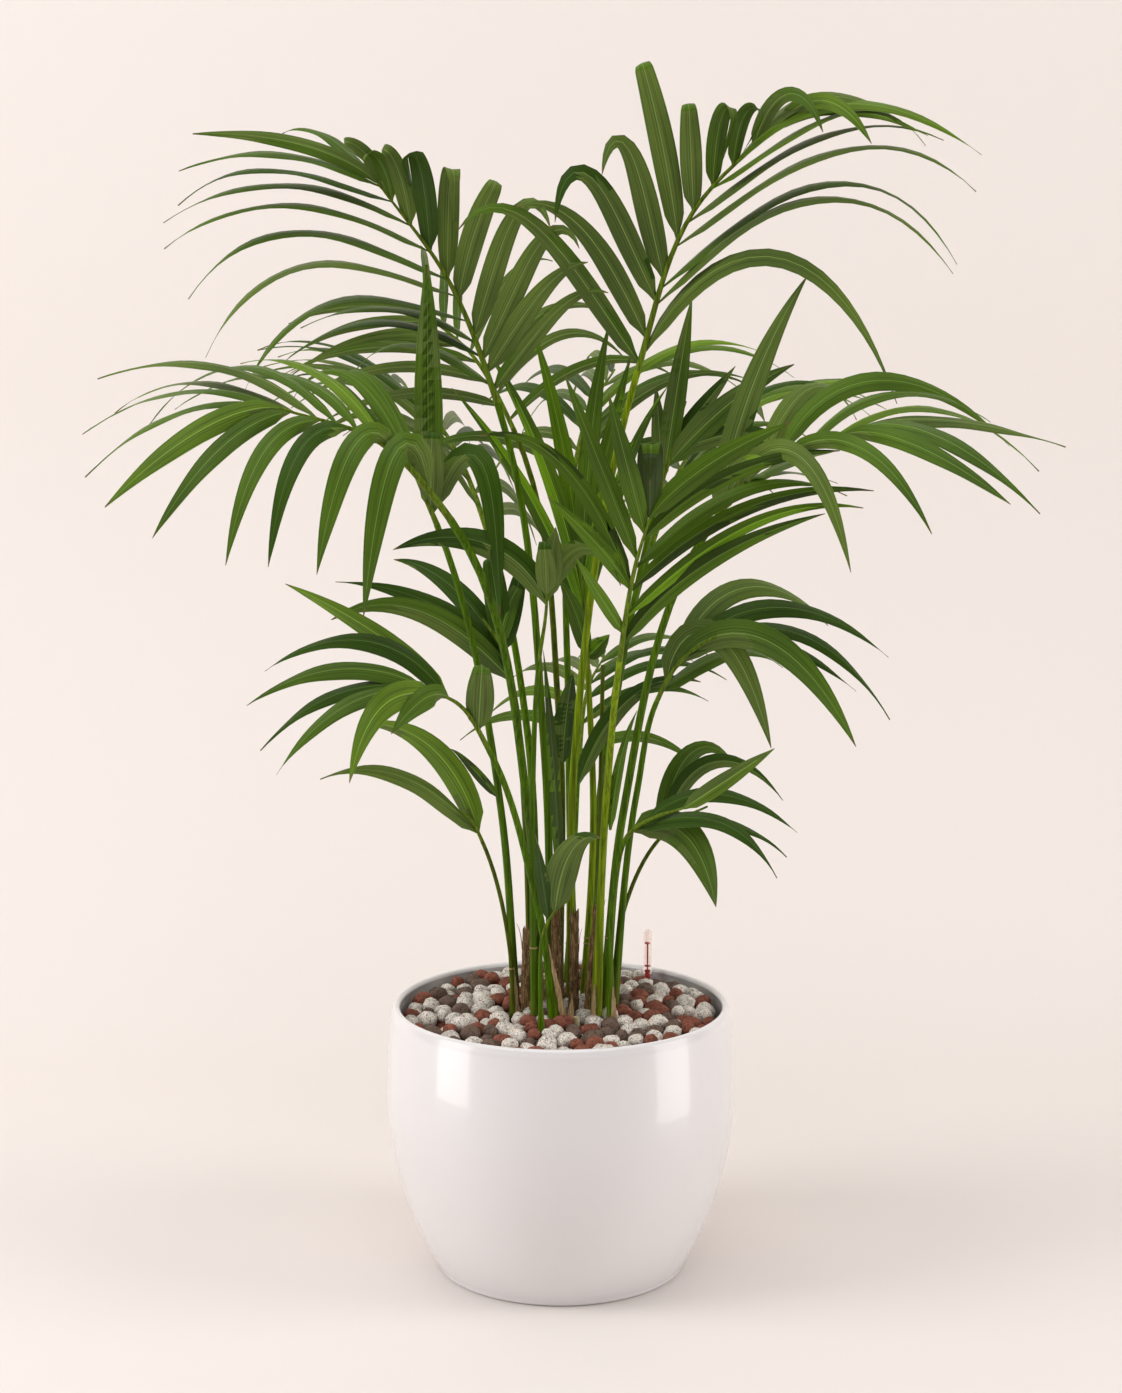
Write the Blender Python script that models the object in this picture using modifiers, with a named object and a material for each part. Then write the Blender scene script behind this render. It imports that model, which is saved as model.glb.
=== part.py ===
"""Kentia palm grown as a clump in a round glazed planter filled with clay granulate.

Metres, +Z up. The origin is the centre of the planter's flat underside, and the plant's front looks along -Y.
Each frond is one entry in FRONDS: its petiole and rib run through its points, and a rule grows its leaflets.
"""

import math
import random
from collections import namedtuple

import bmesh
import bpy
from mathutils import Quaternion, Vector
from mathutils.bvhtree import BVHTree

UP = Vector((0.0, 0.0, 1.0))
CLEARANCE = 0.0003
WELD = 0.000001
ROUND_STEPS = 4

# Planter: a belly on a parabola each side of its widest ring, and a rounded lip.
POT_HEIGHT = 0.279
POT_BASE_RADIUS = 0.128
POT_BELLY_RADIUS = 0.1806
POT_BELLY_HEIGHT = 0.184
POT_LIP_RADIUS = 0.1745
POT_WALL = 0.008
POT_FLOOR = 0.010
POT_FOOT_ROUND = 0.005
FLOOR_CORNER = 0.004
POT_STEPS = 36
POT_WALL_LEVELS = (0.018, 0.050, 0.090, 0.135, 0.184, 0.225, 0.258)

# Granulate: its top is level under the clump and the indicator, and lumpy along the wall.
FILL_TOP = 0.262
FILL_GAP = 0.0005
FILL_LEVEL_RADIUS = 0.112
FILL_RINGS = (0.128, 0.142, 0.154)
FILL_LUMP = 0.004
FILL_SHIFT = 0.02
FILL_SEED = 11

# Water level indicator: a capsule that stands in the granulate behind the clump, on the right.
INDICATOR_PLACE = (0.094, 0.120)
INDICATOR_RADIUS = 0.0045
INDICATOR_TOP = 0.326
INDICATOR_COLLAR_RADIUS = 0.0075
INDICATOR_COLLAR_HEIGHT = 0.006
INDICATOR_COLLAR_EDGE = 0.001
INDICATOR_LEVEL_RADIUS = 0.040
INDICATOR_STEPS = 16

# Cut stubs of old petioles: (x, y, radius, height above the granulate, lean in x).
STUBS = {
    "stub_left": (-0.034, 0.012, 0.0055, 0.096, 0.000),
    "stub_middle": (-0.003, 0.014, 0.0045, 0.128, -0.003),
    "stub_inner": (0.013, 0.012, 0.0040, 0.112, 0.001),
    "stub_right": (0.030, 0.008, 0.0050, 0.118, 0.009),
    "cut_petiole": (0.037, 0.025, 0.0026, 0.366, 0.006),
}
STUB_TAPER = (1.0, 0.95, 0.9, 0.8)

# Petioles and ribs.
PETIOLE_RESOLUTION = 1
RIB_RESOLUTION = 0
SPAN_STEPS = 4
RIB_TIP_RADIUS = 0.0011
SHEATH_SHARE = 0.28

# Leaflets: rings across the blade, as shares of its length, and a ridge a ninetieth of its length high.
LEAFLET_STEPS = 20
LEAFLET_STATIONS = (0, 4, 12)
LEAFLET_RIDGE_SHARE = 1.0 / 90.0
ROOT_WIDTH_SHARE = 0.45
ROOT_HEIGHT_SHARE = 0.5
BLADE_TILT = 26.0
FIRST_LEAFLET = 0.05
LAST_LEAFLET = 0.96
LEAFLET_CROWDING = 0.92
BLADE_ROOT_PHASE = 0.12
BLADE_FULLNESS = 0.8
SHORT_BLADE_WIDTH = 0.82
TEST_MARGIN = 0.0005
TURNS = (0.0, 8.0, -8.0, 16.0, -16.0, 26.0, -26.0)

# How far chance moves a leaflet: degrees for the angles, shares for its length and sag.
SPREAD_CHANCE = 5.0
LIFT_CHANCE = 5.0
LENGTH_CHANCE = 0.08
SAG_CHANCE = 0.18
TILT_CHANCE = 8.0

Side = namedtuple("Side", "spread lift length sag bend")
Frond = namedtuple("Frond", "foot knee collar bow tip face girth pairs width left right seed")

# Foot is (x, y) at the granulate, knee is on the petiole, collar at the lowest leaflets, bow and tip on the rib.
# Girth is the petiole's radius at its sheath, middle and collar. Face is the way the upper side looks.
# Spread (from the rib) and lift (out of the blade) are degrees, lengths are metres, each from collar to tip.
FRONDS = {
    "upper_left": Frond(
        foot=(-0.010, 0.038), knee=(-0.017, 0.042, 0.530), collar=(-0.065, 0.040, 0.895),
        bow=(-0.115, 0.025, 1.021), tip=(-0.181, 0.000, 1.112), face=(0.0, -1.0, 0.2),
        girth=(0.0050, 0.0042, 0.0034), pairs=10, width=0.021,
        left=Side((42, 17), (8, 4), (0.25, 0.28, 0.20), (1.3, 1.1, 0.6), 1.0),
        right=Side((67, 4), (-38, -50), (0.165, 0.125, 0.09), (0.8, 1.1), 3.0), seed=1),
    "upper_right": Frond(
        foot=(0.010, 0.036), knee=(0.014, 0.033, 0.530), collar=(0.077, 0.010, 0.928),
        bow=(0.131, 0.000, 1.084), tip=(0.243, -0.020, 1.191), face=(0.0, -1.0, 0.2),
        girth=(0.0052, 0.0044, 0.0034), pairs=11, width=0.022,
        left=Side((52, 50), (-10, -72), (0.26, 0.160, 0.075), (1.5, 0.4, 1.8), 2.5),
        right=Side((31, 12), (5, 5), (0.325, 0.30, 0.14), (1.8, 1.2, 1.4), 1.0), seed=2),
    "middle_left": Frond(
        foot=(-0.022, 0.030), knee=(-0.033, 0.006, 0.470), collar=(-0.108, -0.075, 0.785),
        bow=(-0.173, -0.110, 0.861), tip=(-0.264, -0.150, 0.895), face=(0.2, -0.25, 0.95),
        girth=(0.0056, 0.0046, 0.0040), pairs=9, width=0.026,
        left=Side((40, 18), (42, 12), (0.22, 0.26, 0.20), (2.2, 1.8, 1.1), 1.0),
        right=Side((50, 18), (15, 5), (0.26, 0.26, 0.20), (1.1, 1.0, 0.9), 1.1), seed=3),
    "middle_left_small": Frond(
        foot=(-0.047, 0.024), knee=(-0.062, 0.014, 0.480), collar=(-0.125, -0.005, 0.775),
        bow=(-0.140, -0.015, 0.812), tip=(-0.155, -0.025, 0.850), face=(0.1, -0.6, 0.8),
        girth=(0.0050, 0.0040, 0.0032), pairs=3, width=0.027,
        left=Side((45, 25), (10, 5), (0.16, 0.18, 0.16), (1.2, 0.8), 1.2),
        right=Side((50, 30), (0, 0), (0.24, 0.20, 0.16), (0.3, 0.5), 2.0), seed=4),
    "middle_right": Frond(
        foot=(0.044, 0.006), knee=(0.064, 0.002, 0.479), collar=(0.147, -0.048, 0.775),
        bow=(0.196, -0.080, 0.837), tip=(0.283, -0.120, 0.874), face=(-0.2, -0.25, 0.95),
        girth=(0.0062, 0.0044, 0.0036), pairs=9, width=0.026,
        left=Side((50, 18), (10, 0), (0.23, 0.28, 0.20), (1.1, 1.2, 1.1), 1.1),
        right=Side((37, 16), (42, 12), (0.20, 0.26, 0.20), (2.2, 1.8, 1.1), 1.0), seed=5),
    "centre_bright": Frond(
        foot=(0.036, -0.010), knee=(0.046, -0.028, 0.500), collar=(0.058, -0.068, 0.645),
        bow=(0.073, -0.100, 0.746), tip=(0.085, -0.120, 0.790), face=(0.0, -1.0, 0.25),
        girth=(0.0060, 0.0040, 0.0032), pairs=8, width=0.024,
        left=Side((48, 22), (-8, -5), (0.12, 0.24, 0.15), (0.9, 0.7, 0.4), 2.5),
        right=Side((30, 26), (5, 5), (0.26, 0.27, 0.15), (1.0, 0.9, 0.6), 1.0), seed=6),
    "back_left_tall": Frond(
        foot=(-0.002, 0.064), knee=(-0.002, 0.094, 0.560), collar=(-0.051, 0.150, 0.865),
        bow=(-0.097, 0.160, 0.945), tip=(-0.150, 0.170, 0.989), face=(0.0, -1.0, 0.4),
        girth=(0.0046, 0.0036, 0.0028), pairs=7, width=0.020,
        left=Side((50, 25), (0, 0), (0.20, 0.20, 0.13), (1.2, 0.9, 0.7), 1.2),
        right=Side((72, 42), (-15, -15), (0.26, 0.20, 0.13), (1.3, 0.9), 1.2), seed=7),
    "low_left": Frond(
        foot=(-0.004, -0.014), knee=(-0.026, -0.037, 0.400), collar=(-0.072, -0.062, 0.555),
        bow=(-0.100, -0.082, 0.603), tip=(-0.130, -0.104, 0.622), face=(0.3, -0.5, 0.8),
        girth=(0.0088, 0.0042, 0.0030), pairs=5, width=0.029,
        left=Side((42, 15), (30, 10), (0.16, 0.19, 0.18), (1.8, 1.2, 1.0), 1.0),
        right=Side((40, 14), (10, 0), (0.18, 0.20, 0.19), (0.4, 1.2, 1.4), 1.2), seed=28),
    "left_behind": Frond(
        foot=(-0.032, 0.058), knee=(-0.039, 0.050, 0.480), collar=(-0.047, 0.038, 0.590),
        bow=(-0.058, 0.034, 0.640), tip=(-0.080, 0.032, 0.675), face=(0.0, -1.0, 0.5),
        girth=(0.0042, 0.0030, 0.0026), pairs=4, width=0.025,
        left=Side((55, 35), (0, 0), (0.18, 0.20, 0.18), (1.0, 0.8), 1.1),
        right=Side((35, 14), (0, 0), (0.12, 0.12, 0.10), (0.8, 0.5), 3.0), seed=9),
    "right_middle": Frond(
        foot=(0.054, 0.019), knee=(0.079, 0.020, 0.500), collar=(0.098, 0.012, 0.592),
        bow=(0.122, 0.000, 0.636), tip=(0.155, -0.020, 0.664), face=(-0.3, -0.5, 0.8),
        girth=(0.0052, 0.0036, 0.0028), pairs=5, width=0.027,
        left=Side((30, 14), (5, 0), (0.18, 0.23, 0.19), (1.7, 1.5, 1.3), 1.0),
        right=Side((28, 15), (45, 15), (0.20, 0.24, 0.21), (2.2, 1.8, 1.4), 1.0), seed=10),
    "low_right": Frond(
        foot=(0.051, -0.021), knee=(0.054, -0.030, 0.400), collar=(0.066, -0.045, 0.462),
        bow=(0.093, -0.080, 0.490), tip=(0.120, -0.110, 0.505), face=(-0.2, -0.6, 0.8),
        girth=(0.0046, 0.0030, 0.0024), pairs=4, width=0.030,
        left=Side((32, 12), (10, 5), (0.14, 0.14, 0.12), (0.9, 1.0), 1.2),
        right=Side((28, 12), (35, 10), (0.13, 0.17, 0.15), (1.8, 1.4, 1.1), 1.1), seed=11),
    "low_far_left": Frond(
        foot=(-0.049, -0.001), knee=(-0.053, -0.010, 0.340), collar=(-0.080, -0.030, 0.455),
        bow=(-0.090, -0.040, 0.478), tip=(-0.100, -0.050, 0.490), face=(0.1, -0.7, 0.7),
        girth=(0.0042, 0.0024, 0.0020), pairs=2, width=0.030,
        left=Side((22, 14), (5, 5), (0.15, 0.18, 0.18), (0.7, 0.6), 1.0),
        right=Side((-14, -4), (0, 0), (0.11, 0.12, 0.12), (0.3, 0.3), 1.5), seed=12),
    "low_right_behind": Frond(
        foot=(0.056, 0.038), knee=(0.064, 0.037, 0.360), collar=(0.100, 0.030, 0.442),
        bow=(0.124, 0.018, 0.468), tip=(0.150, 0.000, 0.485), face=(-0.1, -0.6, 0.8),
        girth=(0.0042, 0.0024, 0.0020), pairs=3, width=0.025,
        left=Side((50, 20), (5, 5), (0.12, 0.13, 0.12), (0.8, 0.6), 1.2),
        right=Side((45, 18), (5, 5), (0.13, 0.14, 0.12), (1.0, 0.7), 1.1), seed=13),
    "front_dark": Frond(
        foot=(-0.027, -0.012), knee=(-0.029, -0.020, 0.500), collar=(-0.022, -0.030, 0.640),
        bow=(-0.015, -0.050, 0.690), tip=(-0.013, -0.070, 0.735), face=(0.0, -1.0, 0.4),
        girth=(0.0046, 0.0032, 0.0024), pairs=3, width=0.022,
        left=Side((38, 20), (5, 5), (0.17, 0.13, 0.09), (0.9, 0.5), 1.4),
        right=Side((40, 15), (-10, -5), (0.10, 0.09, 0.07), (0.7, 0.4), 2.0), seed=14),
    "centre_upright": Frond(
        foot=(0.024, 0.046), knee=(0.034, 0.060, 0.460), collar=(0.027, 0.066, 0.630),
        bow=(0.023, 0.070, 0.692), tip=(0.015, 0.072, 0.753), face=(0.0, -1.0, 0.2),
        girth=(0.0048, 0.0038, 0.0030), pairs=6, width=0.018,
        left=Side((32, 10), (0, 0), (0.20, 0.24, 0.22), (0.5, 0.2), 2.0),
        right=Side((32, 10), (0, 0), (0.14, 0.22, 0.22), (0.5, 0.2), 2.0), seed=15),
    "right_behind": Frond(
        foot=(0.038, 0.062), knee=(0.052, 0.070, 0.540), collar=(0.100, 0.090, 0.790),
        bow=(0.115, 0.095, 0.845), tip=(0.130, 0.100, 0.895), face=(0.0, -1.0, 0.4),
        girth=(0.0048, 0.0038, 0.0030), pairs=5, width=0.025,
        left=Side((50, 18), (-5, -5), (0.17, 0.15, 0.12), (0.8, 0.4), 1.6),
        right=Side((54, 22), (0, 0), (0.18, 0.17, 0.13), (0.7, 0.5), 1.4), seed=16),
    "front_low_leaf": Frond(
        foot=(-0.020, -0.045), knee=(-0.021, -0.046, 0.320), collar=(-0.018, -0.047, 0.362),
        bow=(-0.012, -0.049, 0.378), tip=(-0.004, -0.052, 0.390), face=(-0.2, -0.9, 0.3),
        girth=(0.0036, 0.0024, 0.0020), pairs=1, width=0.028,
        left=Side((20, 20), (0, 0), (0.08, 0.08, 0.08), (0.9, 0.9), 2.0),
        right=Side((25, 25), (0, 0), (0.06, 0.06, 0.06), (0.8, 0.8), 1.5), seed=17),
    "rear_left": Frond(
        foot=(-0.026, 0.086), knee=(-0.036, 0.130, 0.540), collar=(-0.080, 0.200, 0.750),
        bow=(-0.125, 0.265, 0.850), tip=(-0.180, 0.335, 0.905), face=(0.2, 0.25, 0.95),
        girth=(0.0050, 0.0042, 0.0034), pairs=8, width=0.024,
        left=Side((55, 22), (15, 5), (0.22, 0.24, 0.19), (1.3, 0.9), 1.1),
        right=Side((60, 25), (15, 5), (0.20, 0.24, 0.20), (1.4, 0.9), 1.1), seed=18),
    "rear_right": Frond(
        foot=(0.030, 0.084), knee=(0.048, 0.130, 0.520), collar=(0.100, 0.200, 0.740),
        bow=(0.145, 0.265, 0.835), tip=(0.205, 0.335, 0.880), face=(-0.2, 0.25, 0.95),
        girth=(0.0050, 0.0042, 0.0034), pairs=8, width=0.024,
        left=Side((60, 25), (15, 5), (0.20, 0.24, 0.20), (1.4, 0.9), 1.1),
        right=Side((55, 22), (15, 5), (0.21, 0.23, 0.19), (1.3, 0.9), 1.1), seed=19),
    "rear_low": Frond(
        foot=(0.006, 0.100), knee=(0.014, 0.140, 0.400), collar=(0.020, 0.190, 0.500),
        bow=(0.030, 0.250, 0.570), tip=(0.050, 0.310, 0.600), face=(0.0, 0.3, 0.95),
        girth=(0.0044, 0.0034, 0.0028), pairs=6, width=0.026,
        left=Side((60, 22), (10, 5), (0.14, 0.17, 0.15), (1.3, 0.9), 1.1),
        right=Side((60, 22), (10, 5), (0.14, 0.18, 0.16), (1.3, 0.9), 1.1), seed=20),
    "rear_tall": Frond(
        foot=(0.014, 0.076), knee=(0.008, 0.116, 0.560), collar=(0.010, 0.170, 0.790),
        bow=(0.030, 0.225, 0.880), tip=(0.060, 0.290, 0.925), face=(0.0, 0.3, 0.95),
        girth=(0.0050, 0.0040, 0.0032), pairs=8, width=0.023,
        left=Side((60, 22), (15, 5), (0.22, 0.24, 0.19), (1.3, 0.9), 1.1),
        right=Side((60, 22), (15, 5), (0.22, 0.24, 0.19), (1.3, 0.9), 1.1), seed=21),
}

# Colour, roughness.
FINISHES = {
    "glaze": ((0.86, 0.86, 0.84), 0.18),
    "granulate": ((0.34, 0.24, 0.19), 0.90),
    "indicator": ((0.80, 0.74, 0.72), 0.15),
    "old_sheath": ((0.26, 0.17, 0.09), 0.85),
    "petiole": ((0.22, 0.36, 0.10), 0.45),
    "leaf": ((0.07, 0.18, 0.05), 0.45),
    "young_leaf": ((0.16, 0.32, 0.06), 0.45),
}
YOUNG_FRONDS = ("centre_bright", "centre_upright")


def clear_scene():
    for item in list(bpy.data.objects):
        bpy.data.objects.remove(item, do_unlink=True)


def finish(name):
    """The material of this name, made the first time it is asked for."""
    if name in bpy.data.materials:
        return bpy.data.materials[name]
    colour, roughness = FINISHES[name]
    material = bpy.data.materials.new(name)
    material.use_nodes = True
    shader = material.node_tree.nodes["Principled BSDF"]
    shader.inputs["Base Color"].default_value = (*colour, 1.0)
    shader.inputs["Roughness"].default_value = roughness
    return material


def add_mesh(name, bm, collection, finish_name):
    """Puts a closed bmesh into the scene as an object, turned so that its faces point out."""
    if bm.calc_volume(signed=True) < 0:
        bmesh.ops.reverse_faces(bm, faces=bm.faces)
    mesh = bpy.data.meshes.new(name)
    bm.to_mesh(mesh)
    bm.free()
    mesh.materials.append(finish(finish_name))
    item = bpy.data.objects.new(name, mesh)
    collection.objects.link(item)
    return item


def arc(centre, radius, start, end, steps):
    """(x, z) points on a quarter or half round, with angles in degrees from +X."""
    angles = [math.radians(start + (end - start) * step / steps) for step in range(steps + 1)]
    return [(centre[0] + radius * math.cos(a), centre[1] + radius * math.sin(a)) for a in angles]


def belly_radius(height):
    """The planter's outer radius at a height."""
    if height < POT_BELLY_HEIGHT:
        away = (POT_BELLY_HEIGHT - height) / POT_BELLY_HEIGHT
        return POT_BELLY_RADIUS - (POT_BELLY_RADIUS - POT_BASE_RADIUS) * away**2
    away = (height - POT_BELLY_HEIGHT) / (POT_HEIGHT - POT_BELLY_HEIGHT)
    return POT_BELLY_RADIUS - (POT_BELLY_RADIUS - POT_LIP_RADIUS) * away**2


def turned(name, profile, steps, place, collection, finish_name):
    """An (x, z) profile that ends on the axis, turned round a vertical line through place."""
    mesh = bpy.data.meshes.new(name)
    mesh.from_pydata([(x, 0.0, z) for x, z in profile], [(i, i + 1) for i in range(len(profile) - 1)], [])
    mesh.materials.append(finish(finish_name))
    item = bpy.data.objects.new(name, mesh)
    item.location = (place[0], place[1], 0.0)
    collection.objects.link(item)
    screw = item.modifiers.new("turn", "SCREW")
    screw.steps = steps
    screw.render_steps = steps
    screw.use_merge_vertices = True
    screw.merge_threshold = 0.0001
    screw.use_smooth_shade = True
    return item


def make_pot(collection):
    lip_radius = POT_WALL / 2
    lip_centre = (belly_radius(POT_HEIGHT) - lip_radius, POT_HEIGHT - lip_radius)
    foot_centre = (belly_radius(POT_FOOT_ROUND) - POT_FOOT_ROUND, POT_FOOT_ROUND)
    inner = [(belly_radius(z) - POT_WALL, z) for z in POT_WALL_LEVELS]
    outer = [(belly_radius(z), z) for z in POT_WALL_LEVELS]
    profile = [(0.0, POT_FLOOR), (inner[0][0] - FLOOR_CORNER, POT_FLOOR)]
    profile += inner
    profile += arc(lip_centre, lip_radius, 180, 0, ROUND_STEPS)
    profile += outer[::-1]
    profile += arc(foot_centre, POT_FOOT_ROUND, 0, -90, ROUND_STEPS)
    profile.append((0.0, 0.0))
    return turned("pot", profile, POT_STEPS, (0.0, 0.0), collection, "glaze")


def make_granulate(collection):
    """A fill that follows the inside of the wall, its outer rings lifted and dropped at random."""
    walls = [(belly_radius(z) - POT_WALL - FILL_GAP, z) for z in POT_WALL_LEVELS]
    profile = [(0.0, POT_FLOOR + CLEARANCE), (walls[0][0] - FLOOR_CORNER - FILL_GAP, POT_FLOOR + CLEARANCE)]
    profile += walls
    profile += [(radius, FILL_TOP) for radius in FILL_RINGS[::-1]]
    profile += [(FILL_LEVEL_RADIUS, FILL_TOP), (0.0, FILL_TOP)]
    bm = bmesh.new()
    verts = [bm.verts.new((x, 0.0, z)) for x, z in profile]
    edges = [bm.edges.new(pair) for pair in zip(verts, verts[1:])]
    bmesh.ops.spin(
        bm,
        geom=verts + edges,
        cent=(0.0, 0.0, 0.0),
        axis=(0.0, 0.0, 1.0),
        angle=2 * math.pi,
        steps=POT_STEPS,
        use_merge=True,
    )
    bmesh.ops.remove_doubles(bm, verts=bm.verts, dist=WELD)
    rng = random.Random(FILL_SEED)
    for vert in bm.verts:
        on_top = vert.co.z > FILL_TOP - CLEARANCE and vert.co.xy.length > FILL_LEVEL_RADIUS + CLEARANCE
        if on_top and (vert.co.xy - Vector(INDICATOR_PLACE)).length > INDICATOR_LEVEL_RADIUS:
            vert.co.z += rng.uniform(-1.0, 1.0) * FILL_LUMP
            vert.co.xy *= 1.0 + rng.uniform(-1.0, 1.0) * FILL_SHIFT
    bmesh.ops.recalc_face_normals(bm, faces=bm.faces)
    return add_mesh("granulate", bm, collection, "granulate")


def make_indicator(collection):
    foot = FILL_TOP + CLEARANCE
    radius = INDICATOR_RADIUS
    profile = [(0.0, INDICATOR_TOP)]
    profile += arc((0.0, INDICATOR_TOP - radius), radius, 90, 0, ROUND_STEPS)[1:]
    profile.append((radius, foot + INDICATOR_COLLAR_HEIGHT))
    profile.append((INDICATOR_COLLAR_RADIUS, foot + INDICATOR_COLLAR_HEIGHT - INDICATOR_COLLAR_EDGE))
    profile.append((INDICATOR_COLLAR_RADIUS, foot))
    profile.append((0.0, foot))
    return turned("water_indicator", profile, INDICATOR_STEPS, INDICATOR_PLACE, collection, "indicator")


def smooth_path(points, steps):
    """A smooth curve through points, as a list with so many steps in each span."""
    knots = [0.0]
    for first, second in zip(points, points[1:]):
        knots.append(knots[-1] + (second - first).length)
    slopes = []
    for i, point in enumerate(points):
        before = (point - points[i - 1]) / (knots[i] - knots[i - 1]) if i else None
        after = (points[i + 1] - point) / (knots[i + 1] - knots[i]) if i + 1 < len(points) else None
        if before is None or after is None:
            slopes.append(after or before)
            continue
        share = (knots[i] - knots[i - 1]) / (knots[i + 1] - knots[i - 1])
        slopes.append(before.lerp(after, share))
    path = [points[0].copy()]
    for i in range(len(points) - 1):
        width = knots[i + 1] - knots[i]
        for step in range(1, steps + 1):
            t = step / steps
            place = points[i] * (2 * t**3 - 3 * t**2 + 1) + points[i + 1] * (3 * t**2 - 2 * t**3)
            place += slopes[i] * (width * (t**3 - 2 * t**2 + t)) + slopes[i + 1] * (width * (t**3 - t**2))
            path.append(place)
    return path


def frond_paths(frond, steps):
    """(petiole, rib): two runs of one smooth curve, parted at the collar."""
    foot = Vector((*frond.foot, FILL_TOP + CLEARANCE))
    way = [foot] + [Vector(point) for point in (frond.knee, frond.collar, frond.bow, frond.tip)]
    path = smooth_path(way, steps)
    heading = (path[1] - path[0]).normalized()
    path[0] += UP * (frond.girth[0] * heading.xy.length)
    return path[: 2 * steps + 1], path[2 * steps :]


def petiole_radius(frond, along):
    """Radius at a share of the petiole's length: a wide sheath at the foot, then an even taper."""
    sheath, middle, collar = frond.girth
    if along < SHEATH_SHARE:
        share = along / SHEATH_SHARE
        return sheath + (middle - sheath) * share * share * (3 - 2 * share)
    return middle + (collar - middle) * (along - SHEATH_SHARE) / (1 - SHEATH_SHARE)


def limb(name, path, radii, collection, finish_name, resolution=PETIOLE_RESOLUTION):
    """A tapering round limb along a path."""
    curve = bpy.data.curves.new(name, "CURVE")
    curve.dimensions = "3D"
    curve.bevel_depth = 1.0
    curve.bevel_resolution = resolution
    curve.use_fill_caps = True
    spline = curve.splines.new("POLY")
    spline.points.add(len(path) - 1)
    for point, place, radius in zip(spline.points, path, radii):
        point.co = (*place, 1.0)
        point.radius = radius
    curve.materials.append(finish(finish_name))
    item = bpy.data.objects.new(name, curve)
    collection.objects.link(item)
    return item


def as_mesh(item, collection):
    """Turns a curve object into a closed mesh object in its place."""
    name = item.name
    graph = bpy.context.evaluated_depsgraph_get()
    mesh = bpy.data.meshes.new_from_object(item.evaluated_get(graph))
    bm = bmesh.new()
    bm.from_mesh(mesh)
    bmesh.ops.remove_doubles(bm, verts=bm.verts, dist=WELD)
    bmesh.ops.recalc_face_normals(bm, faces=bm.faces)
    bm.to_mesh(mesh)
    bm.free()
    bpy.data.objects.remove(item, do_unlink=True)
    made = bpy.data.objects.new(name, mesh)
    collection.objects.link(made)
    return made


def tree_of(item):
    """A search tree of an object's faces as it shows."""
    graph = bpy.context.evaluated_depsgraph_get()
    evaluated = item.evaluated_get(graph)
    mesh = evaluated.to_mesh()
    mesh.calc_loop_triangles()
    points = [item.matrix_world @ vert.co for vert in mesh.vertices]
    tree = BVHTree.FromPolygons(points, [tuple(tri.vertices) for tri in mesh.loop_triangles])
    evaluated.to_mesh_clear()
    return tree


def blade_width(along):
    """Share of the full width at a share of a leaflet's length: widest near a third, drawn out to the tip."""
    phase = BLADE_ROOT_PHASE + (1.0 - BLADE_ROOT_PHASE) * along**BLADE_FULLNESS
    return math.sin(math.pi * phase) ** BLADE_FULLNESS


def between(pair, share):
    return pair[0] + (pair[1] - pair[0]) * share


def along_rib(values, share):
    """A value at a share of the rib, on a line through two values or a parabola through three."""
    if len(values) == 2:
        return between(values, share)
    first, middle, last = values
    ends = first * (1 - share) * (1 - 2 * share) + last * share * (2 * share - 1)
    return ends + middle * 4 * share * (1 - share)


def leaflet_line(root, start, length, sag, bend):
    """Points along a leaflet's midrib: it leaves the rib along start and sags more towards its tip."""
    points = [root.copy()]
    for step in range(LEAFLET_STEPS):
        along = (step + 0.5) / LEAFLET_STEPS
        heading = (start - UP * (sag * along**bend)).normalized()
        points.append(points[-1] + heading * (length / LEAFLET_STEPS))
    return points


def leaflet_rings(line, across, width, length, rib_radius, margin):
    """Triangular sections across the blade: two edges and the ridge between them, then the tip.

    The first lies inside the rib.
    """
    rings = []
    for station in LEAFLET_STATIONS:
        heading = (line[station + 1] - line[station]).normalized()
        across = (across - heading * across.dot(heading)).normalized()
        ridge = across.cross(heading)
        half = width * blade_width(station / LEAFLET_STEPS) / 2 + margin
        height = length * LEAFLET_RIDGE_SHARE + 2 * margin
        if station == 0:
            half = rib_radius * ROOT_WIDTH_SHARE
            height = rib_radius * ROOT_HEIGHT_SHARE
        low = line[station] - ridge * (height / 2)
        rings.append([low - across * half, low + ridge * height, low + across * half])
    rings.append([line[-1] + (line[-1] - line[-2]).normalized() * margin])
    return rings


def loft_faces(rings):
    """Corner indices of the triangles that close three-sided rings and a tip point."""
    faces = [(2, 1, 0)]
    for first in range(0, 3 * (len(rings) - 2), 3):
        for i in range(3):
            j = (i + 1) % 3
            faces.append((first + i, first + j, first + 3 + i))
            faces.append((first + j, first + 3 + j, first + 3 + i))
    last = 3 * (len(rings) - 2)
    faces += [(last + i, last + (i + 1) % 3, last + 3) for i in range(3)]
    return faces


def tree_of_rings(rings):
    return BVHTree.FromPolygons([point for ring in rings for point in ring], loft_faces(rings))


def leaflet_mesh(name, rings, collection, finish_name):
    bm = bmesh.new()
    verts = [bm.verts.new(point) for ring in rings for point in ring]
    for corners in loft_faces(rings):
        bm.faces.new([verts[i] for i in corners])
    return add_mesh(name, bm, collection, finish_name)


def rib_at(rib, share):
    """(point, tangent) at a share of the rib's points."""
    place = share * (len(rib) - 1)
    index = min(int(place), len(rib) - 2)
    step = rib[index + 1] - rib[index]
    return rib[index] + step * (place - index), step.normalized()


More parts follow.
